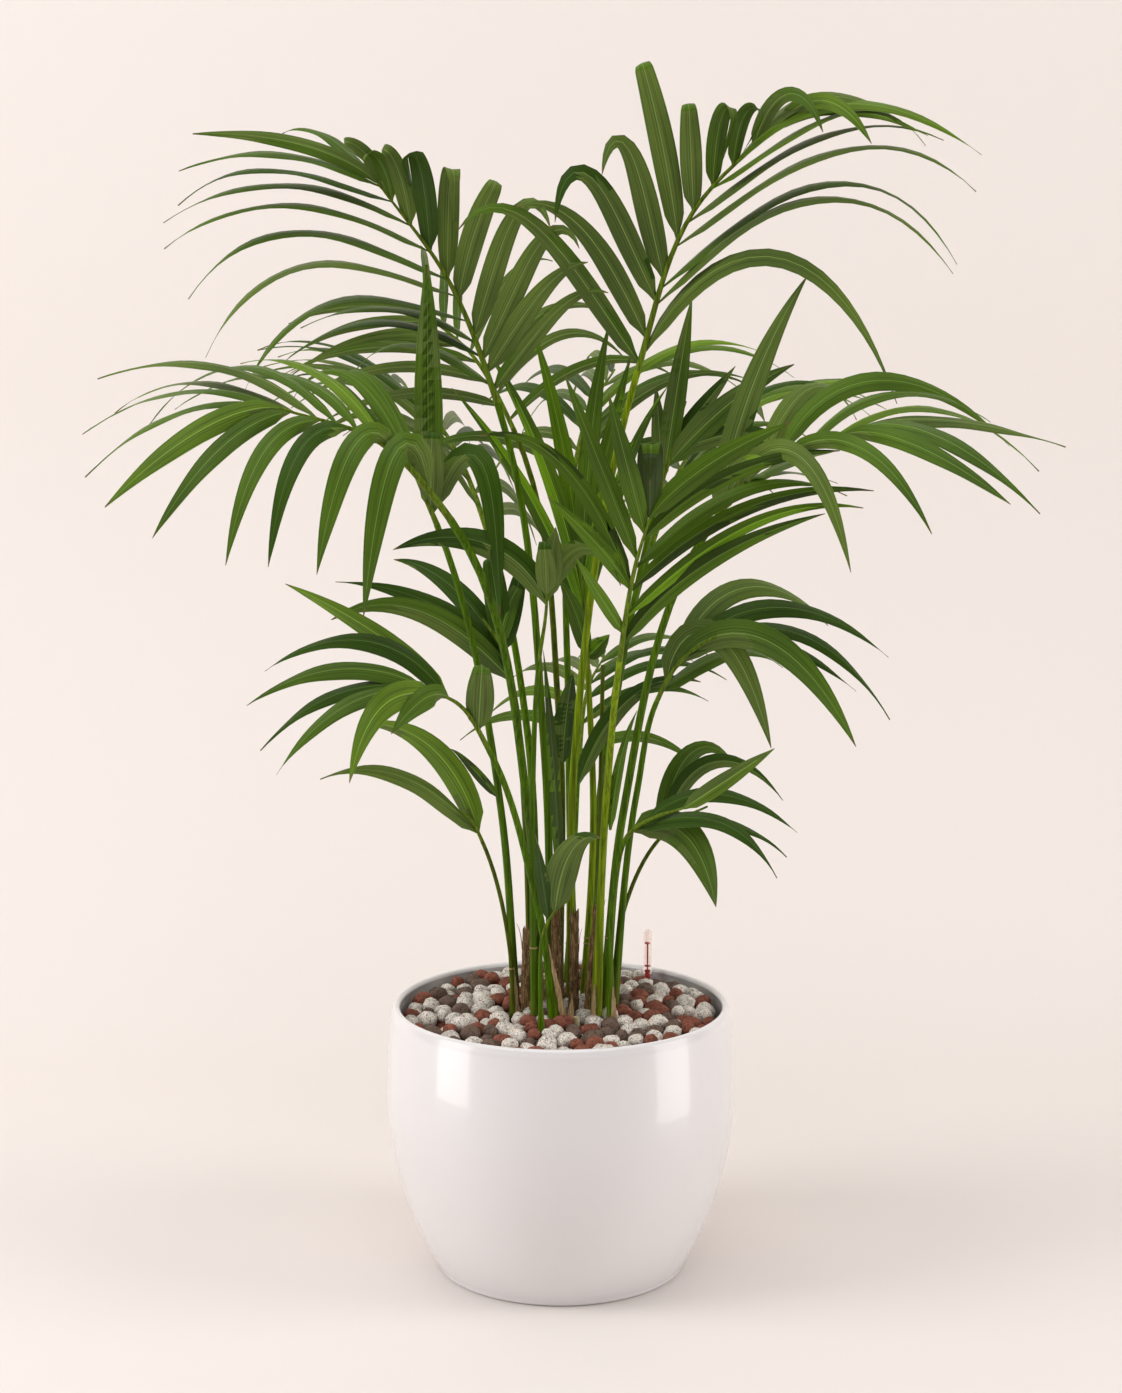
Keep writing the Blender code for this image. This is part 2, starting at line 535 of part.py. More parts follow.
def leaflets_of(frond):
    """Yields (share, sign, draws) for each leaflet, from collar to tip and from side to side."""
    rng = random.Random(frond.seed)
    for index in range(2 * frond.pairs):
        share = between((FIRST_LEAFLET, LAST_LEAFLET), (index / (2 * frond.pairs - 1)) ** LEAFLET_CROWDING)
        sign = -1 if index % 2 else 1
        yield share, sign, [rng.uniform(-1.0, 1.0) for _ in range(5)]


def leaflet_shape(frond, rib, share, sign, draws, turn):
    """(line, across, width, length) of one leaflet; turn is extra lift in degrees."""
    side = frond.right if sign > 0 else frond.left
    point, tangent = rib_at(rib, share)
    face = Vector(frond.face).normalized()
    outward = tangent.cross(face).normalized()
    normal = outward.cross(tangent).normalized()
    spread = math.radians(between(side.spread, share) + SPREAD_CHANCE * draws[0])
    lift = math.radians(between(side.lift, share) + LIFT_CHANCE * draws[1] + turn)
    length = along_rib(side.length, share) * (1.0 + LENGTH_CHANCE * draws[2])
    sag = along_rib(side.sag, share) * (1.0 + SAG_CHANCE * draws[3])
    sideways = outward * (sign * math.cos(lift)) + normal * math.sin(lift)
    start = tangent * math.cos(spread) + sideways * math.sin(spread)
    line = leaflet_line(point, start, length, sag, side.bend)
    across = tangent - start * tangent.dot(start)
    tilt = sign * math.radians(BLADE_TILT + TILT_CHANCE * draws[4])
    across = Quaternion(start, tilt) @ (across * -sign).normalized()
    width = frond.width * between((SHORT_BLADE_WIDTH, 1.0), min(1.0, length / max(side.length)))
    return line, across, width, length


def make_petiole(name, frond, collection):
    petiole, _ = frond_paths(frond, SPAN_STEPS)
    radii = [petiole_radius(frond, i / (len(petiole) - 1)) for i in range(len(petiole))]
    return limb("petiole_" + name, petiole, radii, collection, "petiole")


def make_rib(name, frond, collection, finish_name):
    """The frond's stem, which starts a clearance above the petiole's cut end, also where they meet at a bend."""
    petiole, rib = frond_paths(frond, SPAN_STEPS)
    before = (petiole[-1] - petiole[-2]).normalized()
    after = (rib[1] - rib[0]).normalized()
    gap = CLEARANCE + frond.girth[2] * before.cross(after).length
    stem = [rib[0] + after * gap] + rib[1:]
    radii = [between((frond.girth[2], RIB_TIP_RADIUS), i / (len(stem) - 1)) for i in range(len(stem))]
    return as_mesh(limb(name, stem, radii, collection, finish_name, RIB_RESOLUTION), collection)


def make_frond(name, frond, taken, collection, scratch):
    """One closed body: the rib with its leaflets fused on.

    A leaflet that would touch another piece, or another blade of its own frond, is turned a little, and left out
    if it still touches.
    """
    finish_name = "young_leaf" if name in YOUNG_FRONDS else "leaf"
    body = make_rib("frond_" + name, frond, collection, finish_name)
    _, rib = frond_paths(frond, SPAN_STEPS)
    trees = []
    blades = []
    for index, (share, sign, draws) in enumerate(leaflets_of(frond)):
        for turn in TURNS:
            line, across, width, length = leaflet_shape(frond, rib, share, sign, draws, turn)
            rib_radius = between((frond.girth[2], RIB_TIP_RADIUS), share)
            rings = leaflet_rings(line, across, width, length, rib_radius, TEST_MARGIN)
            tree = tree_of_rings(rings)
            blade = tree_of_rings(rings[1:])
            if any(tree.overlap(other) for other in taken) or any(blade.overlap(other) for other in blades):
                continue
            trees.append(tree)
            blades.append(blade)
            rings = leaflet_rings(line, across, width, length, rib_radius, 0.0)
            leaflet_mesh(f"{name}_{index:02d}", rings, scratch, finish_name)
            break
    union = body.modifiers.new("leaflets", "BOOLEAN")
    union.operation = "UNION"
    union.operand_type = "COLLECTION"
    union.collection = scratch
    union.solver = "MANIFOLD"
    bpy.context.view_layer.update()
    graph = bpy.context.evaluated_depsgraph_get()
    fused = bpy.data.meshes.new_from_object(body.evaluated_get(graph))
    body.modifiers.clear()
    body.data = fused
    for item in list(scratch.objects):
        bpy.data.objects.remove(item, do_unlink=True)
    return trees


def make_stub(name, collection):
    x, y, radius, height, lean = STUBS[name]
    foot = Vector((x, y, FILL_TOP + CLEARANCE + radius * abs(lean) / height))
    top = foot + Vector((lean, 0.0, height))
    path = [foot.lerp(top, step / (len(STUB_TAPER) - 1)) for step in range(len(STUB_TAPER))]
    return limb(name, path, [radius * share for share in STUB_TAPER], collection, "old_sheath")


def main():
    clear_scene()
    collection = bpy.data.collections.new("kentia_palm")
    bpy.context.scene.collection.children.link(collection)
    scratch = bpy.data.collections.new("leaflets_to_fuse")
    bpy.context.scene.collection.children.link(scratch)
    make_pot(collection)
    make_granulate(collection)
    limbs = [make_indicator(collection)]
    limbs += [make_stub(name, collection) for name in STUBS]
    limbs += [make_petiole(name, frond, collection) for name, frond in FRONDS.items()]
    bpy.context.view_layer.update()
    limb_trees = [tree_of(item) for item in limbs]
    rib_trees = {}
    for name, frond in FRONDS.items():
        probe = make_rib("probe", frond, scratch, "leaf")
        rib_trees[name] = tree_of(probe)
        bpy.data.objects.remove(probe, do_unlink=True)
    leaf_trees = []
    for name, frond in FRONDS.items():
        other_ribs = [tree for other, tree in rib_trees.items() if other != name]
        leaf_trees += make_frond(name, frond, limb_trees + other_ribs + leaf_trees, collection, scratch)
    bpy.data.collections.remove(scratch)


main()
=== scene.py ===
"""Dresses the kentia palm: a clump of feathery fronds in a round glazed planter filled with clay granules."""

import math
import random
from collections import namedtuple

import bmesh
import bpy
from bpy.props import FloatProperty, FloatVectorProperty, IntProperty, PointerProperty
from mathutils import Matrix, Quaternion, Vector, noise


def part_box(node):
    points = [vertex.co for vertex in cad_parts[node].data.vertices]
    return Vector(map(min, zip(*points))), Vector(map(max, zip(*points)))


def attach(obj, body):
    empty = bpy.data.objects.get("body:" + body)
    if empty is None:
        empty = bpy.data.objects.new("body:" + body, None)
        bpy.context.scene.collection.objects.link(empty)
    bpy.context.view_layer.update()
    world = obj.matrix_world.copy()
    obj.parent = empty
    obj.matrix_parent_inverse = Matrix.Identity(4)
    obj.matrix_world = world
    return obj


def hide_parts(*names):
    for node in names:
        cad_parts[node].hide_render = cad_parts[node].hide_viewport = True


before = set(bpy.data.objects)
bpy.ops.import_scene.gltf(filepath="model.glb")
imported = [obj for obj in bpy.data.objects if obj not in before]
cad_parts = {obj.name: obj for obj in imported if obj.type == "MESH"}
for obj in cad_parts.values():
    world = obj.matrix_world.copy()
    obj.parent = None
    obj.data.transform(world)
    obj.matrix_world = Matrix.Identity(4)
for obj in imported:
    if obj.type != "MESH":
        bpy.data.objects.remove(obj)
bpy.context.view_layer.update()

bl_info = {
    "name": "Kentia Palm",
    "version": (1, 0, 0),
    "blender": (4, 5, 0),
    "location": "View3D > Sidebar > Kentia",
    "description": "Builds a potted kentia palm around its construction model, with a studio round it",
    "category": "Object",
}

UP = Vector((0.0, 0.0, 1.0))
CLEARANCE = 0.0003
WELD = 0.000001
ABOUT_A_TURN = 6.28

POT_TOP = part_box("pot")[1].z
FILL_TOP = 0.262
FILL_WALL_GAP = 0.0085

POT_BASE_RADIUS = 0.128
POT_BELLY_RADIUS = 0.1806
POT_BELLY_HEIGHT = 0.184
POT_LIP_RADIUS = 0.1745
POT_WALL = 0.008
POT_FLOOR = 0.010
POT_FOOT_ROUND = 0.005
POT_LEVELS = 44
# Metres between the walls' levels and the rounds at the foot and the lip.
ABOVE_FOOT = 0.002
BELOW_LIP = 0.001
FLOOR_CORNER = 0.004
CORNER_STEPS = 6
LIP_STEPS = 12
FOOT_STEPS = 8

PEBBLE_REACH = 0.1635
PEBBLE_CROWDING = 0.93
PEBBLE_DENT = 0.26
# Noise on a granule of radius 1: (scale, share).
PEBBLE_DENTS = ((1.1, 1.0), (2.6, 0.4))
PEBBLE_SHIFT = 50.0
PEBBLE_STRETCH = ((0.92, 1.16), (0.86, 1.04), (0.74, 0.96))
PEBBLE_TILT = 0.5
# How near a granule's edge comes to a stem, as a share of its radius, and how hard the stem pushes it.
POST_ROOM = 0.75
POST_PUSH = 0.6
TOP_PASSES = 60
LOW_PASSES = 12
BED_TOP = 0.250
BED_STEPS = 16
BED_SIDES = 96
BED_GAP = 0.0006
BED_SPREAD = 0.0075
BED_LOW = 0.008
BED_HIGH = 0.004
BED_CORNER = 0.010
BED_ROUND = 0.004
BED_FLAT = 0.6
# Colour of the fill under the granules: near black, painted shade seen in the gaps between them.
BED_SHADE_COLOUR = (0.018, 0.013, 0.010)
HEAP_TOP = 0.267
HEAP_SLOPE = 0.045
HEAP_RISE = 0.004
HEAP_CENTRE = (0.020, 0.050)
HEAP_REACH = 0.085
# Granules by colour: (colour of the dark specks and of the painted shade in the pits, roughness).
GRANULES = {
    "grey": ((0.045, 0.032, 0.026), 0.85),
    "red": ((0.050, 0.022, 0.016), 0.88),
    "dark": ((0.030, 0.022, 0.018), 0.85),
}
# How a layer of granules lies: shares by colour, depth under the heap's top in radii and in metres, chance.
Layer = namedtuple("Layer", "weights sunk depth chance")
TOP_LAYER = Layer((52, 30, 18), 0.45, 0.0, (-0.003, 0.003))
LOW_LAYER = Layer((45, 33, 22), 0.0, 0.013, (-0.003, 0.001))

INDICATOR_PLACE = (0.094, 0.120)
INDICATOR_RADIUS = 0.0045
INDICATOR_DEPTH = 0.004
FLOAT_GAP = 0.0004
FLOAT_STEPS = 32
ROD_RADIUS = 0.0008
ROD_STEPS = 20
TUBE_STEPS = 40
TUBE_BEVEL = 0.001
TUBE_OUTER_BEVEL = 0.0003
TUBE_INNER_BEVEL = 0.0002
CAP_STEPS = 8
# Profiles of the red parts: (share of their radius, metres below the tube's top or above its foot).
ROD_TOP = ((0.0, 0.0155), (1.0, 0.0156))
ROD_FOOT = ((1.0, 0.016), (0.0, 0.0155))
TOP_DISC = ((0.0, 0.0145), (1.0, 0.0148), (1.0, 0.0158), (0.0, 0.0161))
FOOT_DISC = ((0.0, 0.0285), (1.0, 0.0282), (1.0, 0.0268), (0.0, 0.0265))
FOOT_COLLAR = (
    (0.0, 0.0235), (1.0, 0.0230), (1.0, 0.0215), (0.72, 0.0208),
    (0.72, 0.0190), (1.0, 0.0182), (1.0, 0.0008), (0.0, 0.0006),
)

# Leaf blades: the neck is a share of the length, a slender or a broad blade narrows to its tip by that power,
# the cup is a share of the half width, and the tip's half width and the thickness are metres.
BLADE_ACROSS = 4
BLADE_NECK = 0.10
BLADE_SLENDER = 0.75
BLADE_BROAD = 0.12
BLADE_TIP_HALF = 0.00025
BLADE_CUP = 0.05
BLADE_THICKNESS = 0.0004
BLADE_TWIST_POWER = 1.5
# A blade's fold opens to FOLD_LEFT of its angle within the first 1 / FOLD_RUN of its length.
FOLD_LEFT = 0.35
FOLD_RUN = 2.2
# The wave in a blade's edges: metres, radians from root to tip, and how fast it sets in.
BLADE_WAVE = 0.0006
BLADE_WAVES = 17.0
BLADE_WAVE_RISE = 4.0
# Least share of its length that a heading must lie square to the face a blade shows.
LEAST_FACING = 0.30
# Faces whose normal lies further below the blade than this share get the underside's material, by number. Its
# paler yellow green is partly the underside's own colour and partly painted light shining through the blade.
UNDERSIDE_FACING = -0.15
UNDERSIDE = 4
CURL_STEPS = 5
CURL_STEP_LENGTH = 0.0035
CURL_DEGREES = 140.0
HANG_STEPS = 5
# Chances of one blade: twist in degrees, and share of the fold.
RULED_TWIST = 16.0
RULED_FOLDS = (0.7, 1.2)
SHAPED_TWIST = 10.0
SHAPED_FOLDS = (0.7, 1.1)
SHAPED_ROOT_HALF = 0.0013

FOOT_DEPTH = 0.012
MARGIN_START = 0.6
MARGIN_STEPS = 14
MARGIN_ACROSS = 4
MARGIN_TAPER = 0.75
MARGIN_RAGS = (0.75, 1.25)
MARGIN_GAP = 0.0004
MARGIN_CLEAR = 1.03
MARGIN_FLARE = 0.0022
MARGIN_WRAP = 58.0
MARGIN_THICKNESS = 0.0005
RING_STEPS = 24
RING_CORE = 0.9
RING_RISE = 0.0005
RING_HALF = 0.0010
RING_FLAT = 0.0004
SCALE_STEPS = 8
SCALE_FOOT = 0.002
SCALE_STRAIGHTENS = 0.8
SCALE_ROOT = 0.35
SCALE_TWIST = 0.3
SCALE_FOLD = -20.0

# Stubs: flare, taper, rim and skin are shares of the radius, the hollow is metres and a share of the height.
STUB_STOUTNESS = 1.30
STUB_STEPS = 14
STUB_SIDES = 24
STUB_FOOT = 0.012
STUB_FLARE = 1.05
STUB_TAPER = 0.25
STUB_RIM = (0.55, 0.45)
STUB_HOLLOW = (0.010, 0.1)
STUB_RIBS = 9
STUB_RIB = 0.06
STUB_ROUGH = 0.24
ROD_ROUGH = 0.04
ROUGH_AROUND = 3
ROUGH_ALONG = 60
STUB_SKIN = 0.4
THINNEST_STUB = 0.003
TOP_EDGE = 0.002
RAGGED_TOP = 0.012
RAGS_AROUND = 2.5
RAGS_LOW = 0.35
CUT_TOP = 0.010
FIBRES_PER_STUB = 7
FIBRE_STARTS = (0.15, 0.95)
FIBRE_LENGTHS = (0.010, 0.030)
FIBRE_REACH = 0.004
FIBRE_BEND = 0.5
FIBRE_BENDS = (0.4, 1.6)
FIBRE_TURN = 0.10
FIBRE_RADII = (0.0005, 0.0005, 0.0004, 0.0003, 0.0002)
# Gap in the granules among the stems, and the pale cut end in it: (x, y, radius).
HOLLOW = (0.017, -0.018, 0.010)
CUT_END = (0.016, -0.026, 0.0032)
CUT_END_TOP = 0.008
CUT_END_FOOT = 0.010
CUT_END_SIDES = 16
PITH_COLOUR = (0.50, 0.46, 0.26)

# Seeds of the random draws. A frond's blades draw from its own seed and BLADE_SEEDS.
GRANULE_SEED = 5
STUB_SEED = 8
LOOSE_SEED = 4
SCALE_SEED = 3
BLADE_SEEDS = 100

# The backdrop's sheet: its front and back edges, sides and top, and the round between floor and wall.
SHEET_FRONT = -4.5
SHEET_SIDE = -5.0
SHEET_WIDTH = 10.0
SHEET_TOP = 5.0
SWEEP_START = 0.65
SWEEP_RADIUS = 0.9
SWEEP_STEPS = 32

SKY_COLOUR = (1.0, 0.975, 0.955, 1.0)
# Lights: (place, target, width and height, colour). The settings of the stage give their powers.
LIGHTS = {
    "key": ((-2.8, -0.7, 1.9), (0.0, 0.0, 0.5), (1.6, 2.2), (1.0, 0.98, 0.965)),
    "fill": ((2.9, -0.6, 1.7), (0.0, 0.0, 0.5), (1.4, 2.0), (1.0, 0.97, 0.945)),
    "top": ((-0.3, -0.6, 3.4), (0.0, 0.2, 0.0), (3.0, 2.4), (1.0, 0.98, 0.96)),
}
# Cards that shine in the glaze alone: (azimuth from -Y, distance, low edge, width, height, power).
CARDS = {
    "left_card": (-67.0, 0.80, 0.05, 0.34, 0.59, 1.7),
    "right_card": (70.5, 0.80, -0.04, 0.36, 0.68, 1.7),
}
CARD_COLOUR = (1.0, 0.98, 0.97)

CAMERA_PLACE = (0.0, -2.4164, 0.9615)
CAMERA_DOWN = 8.53
CAMERA_LENS = 62.02
CAMERA_SENSOR = 36.0

# Petioles, ribs and leaflets grow by the rule and the numbers of the construction model.
PETIOLE_RESOLUTION = 4
RACHIS_RESOLUTION = 2
RULE_STEPS = 4
FINE_STEPS = 10
RIB_TIP_RADIUS = 0.0011
SHEATH_SHARE = 0.28
LEAFLET_STEPS = 20
ROOT_WIDTH_SHARE = 0.45
BLADE_TILT = 26.0
FIRST_LEAFLET = 0.05
LAST_LEAFLET = 0.96
LEAFLET_CROWDING = 0.92
BLADE_ROOT_PHASE = 0.12
BLADE_FULLNESS = 0.8
SHORT_BLADE_WIDTH = 0.82
SPREAD_CHANCE = 5.0
LIFT_CHANCE = 5.0
LENGTH_CHANCE = 0.08
SAG_CHANCE = 0.18
TILT_CHANCE = 8.0

# Foot is (x, y) at the granulate, knee is on the petiole, collar at the lowest leaflets, bow and tip on the
# rib. Girth is the petiole's radius at its sheath, middle and collar.
Frond = namedtuple("Frond", "foot knee collar bow tip girth seed")
FRONDS = {
    "upper_left": Frond(
        foot=(-0.01, 0.038), knee=(-0.017, 0.042, 0.53), collar=(-0.065, 0.04, 0.895),
        bow=(-0.115, 0.025, 1.021), tip=(-0.181, 0.0, 1.112), girth=(0.005, 0.0042, 0.0034), seed=1),
    "upper_right": Frond(
        foot=(0.01, 0.036), knee=(0.014, 0.033, 0.53), collar=(0.077, 0.01, 0.928),
        bow=(0.131, 0.0, 1.084), tip=(0.243, -0.02, 1.191), girth=(0.0052, 0.0044, 0.0034), seed=2),
    "middle_left": Frond(
        foot=(-0.022, 0.03), knee=(-0.033, 0.006, 0.47), collar=(-0.108, -0.075, 0.785),
        bow=(-0.173, -0.11, 0.861), tip=(-0.264, -0.15, 0.895), girth=(0.0056, 0.0046, 0.004), seed=3),
    "middle_left_small": Frond(
        foot=(-0.047, 0.024), knee=(-0.062, 0.014, 0.48), collar=(-0.125, -0.005, 0.775),
        bow=(-0.14, -0.015, 0.812), tip=(-0.155, -0.025, 0.85), girth=(0.005, 0.004, 0.0032), seed=4),
    "middle_right": Frond(
        foot=(0.044, 0.006), knee=(0.064, 0.002, 0.479), collar=(0.147, -0.048, 0.775),
        bow=(0.196, -0.08, 0.837), tip=(0.283, -0.12, 0.874), girth=(0.0062, 0.0044, 0.0036), seed=5),
    "centre_bright": Frond(
        foot=(0.036, -0.01), knee=(0.046, -0.028, 0.5), collar=(0.058, -0.068, 0.645),
        bow=(0.073, -0.1, 0.746), tip=(0.085, -0.12, 0.79), girth=(0.006, 0.004, 0.0032), seed=6),
    "back_left_tall": Frond(
        foot=(-0.002, 0.064), knee=(-0.002, 0.094, 0.56), collar=(-0.051, 0.15, 0.865),
        bow=(-0.097, 0.16, 0.945), tip=(-0.15, 0.17, 0.989), girth=(0.0046, 0.0036, 0.0028), seed=7),
    "low_left": Frond(
        foot=(-0.004, -0.014), knee=(-0.026, -0.037, 0.4), collar=(-0.072, -0.062, 0.555),
        bow=(-0.1, -0.082, 0.603), tip=(-0.13, -0.104, 0.622), girth=(0.0088, 0.0042, 0.003), seed=28),
    "left_behind": Frond(
        foot=(-0.032, 0.058), knee=(-0.039, 0.05, 0.48), collar=(-0.047, 0.038, 0.59),
        bow=(-0.058, 0.034, 0.64), tip=(-0.08, 0.032, 0.675), girth=(0.0042, 0.003, 0.0026), seed=9),
    "right_middle": Frond(
        foot=(0.054, 0.019), knee=(0.079, 0.02, 0.5), collar=(0.098, 0.012, 0.592),
        bow=(0.122, 0.0, 0.636), tip=(0.155, -0.02, 0.664), girth=(0.0052, 0.0036, 0.0028), seed=10),
    "low_right": Frond(
        foot=(0.051, -0.021), knee=(0.054, -0.03, 0.4), collar=(0.066, -0.045, 0.462),
        bow=(0.093, -0.08, 0.49), tip=(0.12, -0.11, 0.505), girth=(0.0046, 0.003, 0.0024), seed=11),
    "low_far_left": Frond(
        foot=(-0.049, -0.001), knee=(-0.053, -0.01, 0.34), collar=(-0.08, -0.03, 0.455),
        bow=(-0.09, -0.04, 0.478), tip=(-0.1, -0.05, 0.49), girth=(0.0042, 0.0024, 0.002), seed=12),
    "low_right_behind": Frond(
        foot=(0.056, 0.038), knee=(0.064, 0.037, 0.36), collar=(0.1, 0.03, 0.442),
        bow=(0.124, 0.018, 0.468), tip=(0.15, 0.0, 0.485), girth=(0.0042, 0.0024, 0.002), seed=13),
    "front_dark": Frond(
        foot=(-0.027, -0.012), knee=(-0.029, -0.02, 0.5), collar=(-0.022, -0.03, 0.64),
        bow=(-0.015, -0.05, 0.69), tip=(-0.013, -0.07, 0.735), girth=(0.0046, 0.0032, 0.0024), seed=14),
    "centre_upright": Frond(
        foot=(0.024, 0.046), knee=(0.034, 0.06, 0.46), collar=(0.027, 0.066, 0.63),
        bow=(0.023, 0.07, 0.692), tip=(0.015, 0.072, 0.753), girth=(0.0048, 0.0038, 0.003), seed=15),
    "right_behind": Frond(
        foot=(0.038, 0.062), knee=(0.052, 0.07, 0.54), collar=(0.1, 0.09, 0.79),
        bow=(0.115, 0.095, 0.845), tip=(0.13, 0.1, 0.895), girth=(0.0048, 0.0038, 0.003), seed=16),
    "front_low_leaf": Frond(
        foot=(-0.02, -0.045), knee=(-0.021, -0.046, 0.32), collar=(-0.018, -0.047, 0.362),
        bow=(-0.012, -0.049, 0.378), tip=(-0.004, -0.052, 0.39), girth=(0.0036, 0.0024, 0.002), seed=17),
    "rear_left": Frond(
        foot=(-0.026, 0.086), knee=(-0.036, 0.13, 0.54), collar=(-0.08, 0.2, 0.75),
        bow=(-0.125, 0.265, 0.85), tip=(-0.18, 0.335, 0.905), girth=(0.005, 0.0042, 0.0034), seed=18),
    "rear_right": Frond(
        foot=(0.03, 0.084), knee=(0.048, 0.13, 0.52), collar=(0.1, 0.2, 0.74),
        bow=(0.145, 0.265, 0.835), tip=(0.205, 0.335, 0.88), girth=(0.005, 0.0042, 0.0034), seed=19),
    "rear_low": Frond(
        foot=(0.006, 0.1), knee=(0.014, 0.14, 0.4), collar=(0.02, 0.19, 0.5),
        bow=(0.03, 0.25, 0.57), tip=(0.05, 0.31, 0.6), girth=(0.0044, 0.0034, 0.0028), seed=20),
    "rear_tall": Frond(
        foot=(0.014, 0.076), knee=(0.008, 0.116, 0.56), collar=(0.01, 0.17, 0.79),
        bow=(0.03, 0.225, 0.88), tip=(0.06, 0.29, 0.925), girth=(0.005, 0.004, 0.0032), seed=21),
}

# Fronds whose leaflets grow by the rule. Face is the way the upper side looks, and finish is the share of
# the width that the finer blades have. Spread from the rib and lift out of the blade are degrees, lengths are
# metres, each from collar to tip.
Side = namedtuple("Side", "spread lift length sag bend")
Leaves = namedtuple("Leaves", "pairs width finish face left right")
LEAVES = {
    "back_left_tall": Leaves(
        pairs=7, width=0.02, finish=0.62, face=(0.0, -1.0, 0.4),
        left=Side((50, 25), (0, 0), (0.2, 0.2, 0.13), (1.2, 0.9, 0.7), 1.2),
        right=Side((72, 42), (-15, -15), (0.26, 0.2, 0.13), (1.3, 0.9), 1.2)),
    "rear_left": Leaves(
        pairs=8, width=0.024, finish=0.6, face=(0.2, 0.25, 0.95),
        left=Side((55, 22), (15, 5), (0.22, 0.24, 0.19), (1.3, 0.9), 1.1),
        right=Side((60, 25), (15, 5), (0.2, 0.24, 0.2), (1.4, 0.9), 1.1)),
    "rear_right": Leaves(
        pairs=8, width=0.024, finish=0.6, face=(-0.2, 0.25, 0.95),
        left=Side((60, 25), (15, 5), (0.2, 0.24, 0.2), (1.4, 0.9), 1.1),
        right=Side((55, 22), (15, 5), (0.21, 0.23, 0.19), (1.3, 0.9), 1.1)),
    "rear_low": Leaves(
        pairs=6, width=0.026, finish=0.5, face=(0.0, 0.3, 0.95),
        left=Side((60, 22), (10, 5), (0.14, 0.17, 0.15), (1.3, 0.9), 1.1),
        right=Side((60, 22), (10, 5), (0.14, 0.18, 0.16), (1.3, 0.9), 1.1)),
    "rear_tall": Leaves(
        pairs=8, width=0.023, finish=0.55, face=(0.0, 0.3, 0.95),
        left=Side((60, 22), (15, 5), (0.22, 0.24, 0.19), (1.3, 0.9), 1.1),
        right=Side((60, 22), (15, 5), (0.22, 0.24, 0.19), (1.3, 0.9), 1.1)),
}

# Extra lift in degrees that makes room for a leaflet, by its number on the frond; None leaves it out.
TURNED = {
    "back_left_tall": {7: -8.0, 9: -8.0},
    "rear_left": {13: 8.0},
    "rear_right": {0: -8.0, 14: 8.0},
    "rear_low": {11: 8.0},
    "rear_tall": {0: -16.0, 1: 26.0, 3: -8.0, 8: 8.0, 10: None, 12: -8.0, 13: 8.0, 14: None, 15: -8.0},
}

# Leaf tints by frond: shares of the tints in TINT_NAMES. They are partly the leaflets' own spread of greens
# and
# partly painted light: the deep green, most of it on the low, back and hidden fronds, is painted shade, the
# light green is painted light, and the olive is painted grey sheen.
TINT_NAMES = ("deep", "middle", "olive", "light")
TINTS = {
    "upper_left": (1, 5, 3, 1),
    "upper_right": (1, 5, 3, 1),
    "middle_left": (1, 5, 2, 2),
    "middle_left_small": (5, 3, 0, 0),
    "middle_right": (2, 5, 2, 1),
    "centre_bright": (3, 3, 2, 1),
    "back_left_tall": (1, 2, 5, 0),
    "low_left": (3, 5, 0, 1),
    "left_behind": (5, 3, 0, 0),
    "right_middle": (4, 4, 1, 0),
    "low_right": (4, 4, 0, 1),
    "low_far_left": (2, 4, 0, 1),
    "low_right_behind": (4, 3, 1, 0),
    "front_dark": (6, 2, 0, 0),
    "centre_upright": (1, 2, 3, 3),
    "right_behind": (5, 2, 1, 0),
    "front_low_leaf": (1, 0, 0, 0),
    "rear_left": (3, 4, 2, 1),
    "rear_right": (3, 4, 2, 1),
    "rear_low": (3, 4, 1, 1),
    "rear_tall": (3, 4, 2, 1),
}
LOOSE_TINTS = (2, 3, 2, 1)
# The young pair's tints are darker and lighter shares of one colour: painted shade and painted light on
# blades turned away from and towards the lamps.
YOUNG_FRONDS = ("centre_bright", "centre_upright")
YOUNG_SHADE_AND_LIGHT = {"deep": 0.50, "middle": 0.95, "olive": 1.60, "light": 2.60}
# The young underside is a lighter share: partly its own paler colour, partly painted light shining through.
YOUNG_UNDERSIDE = 1.2

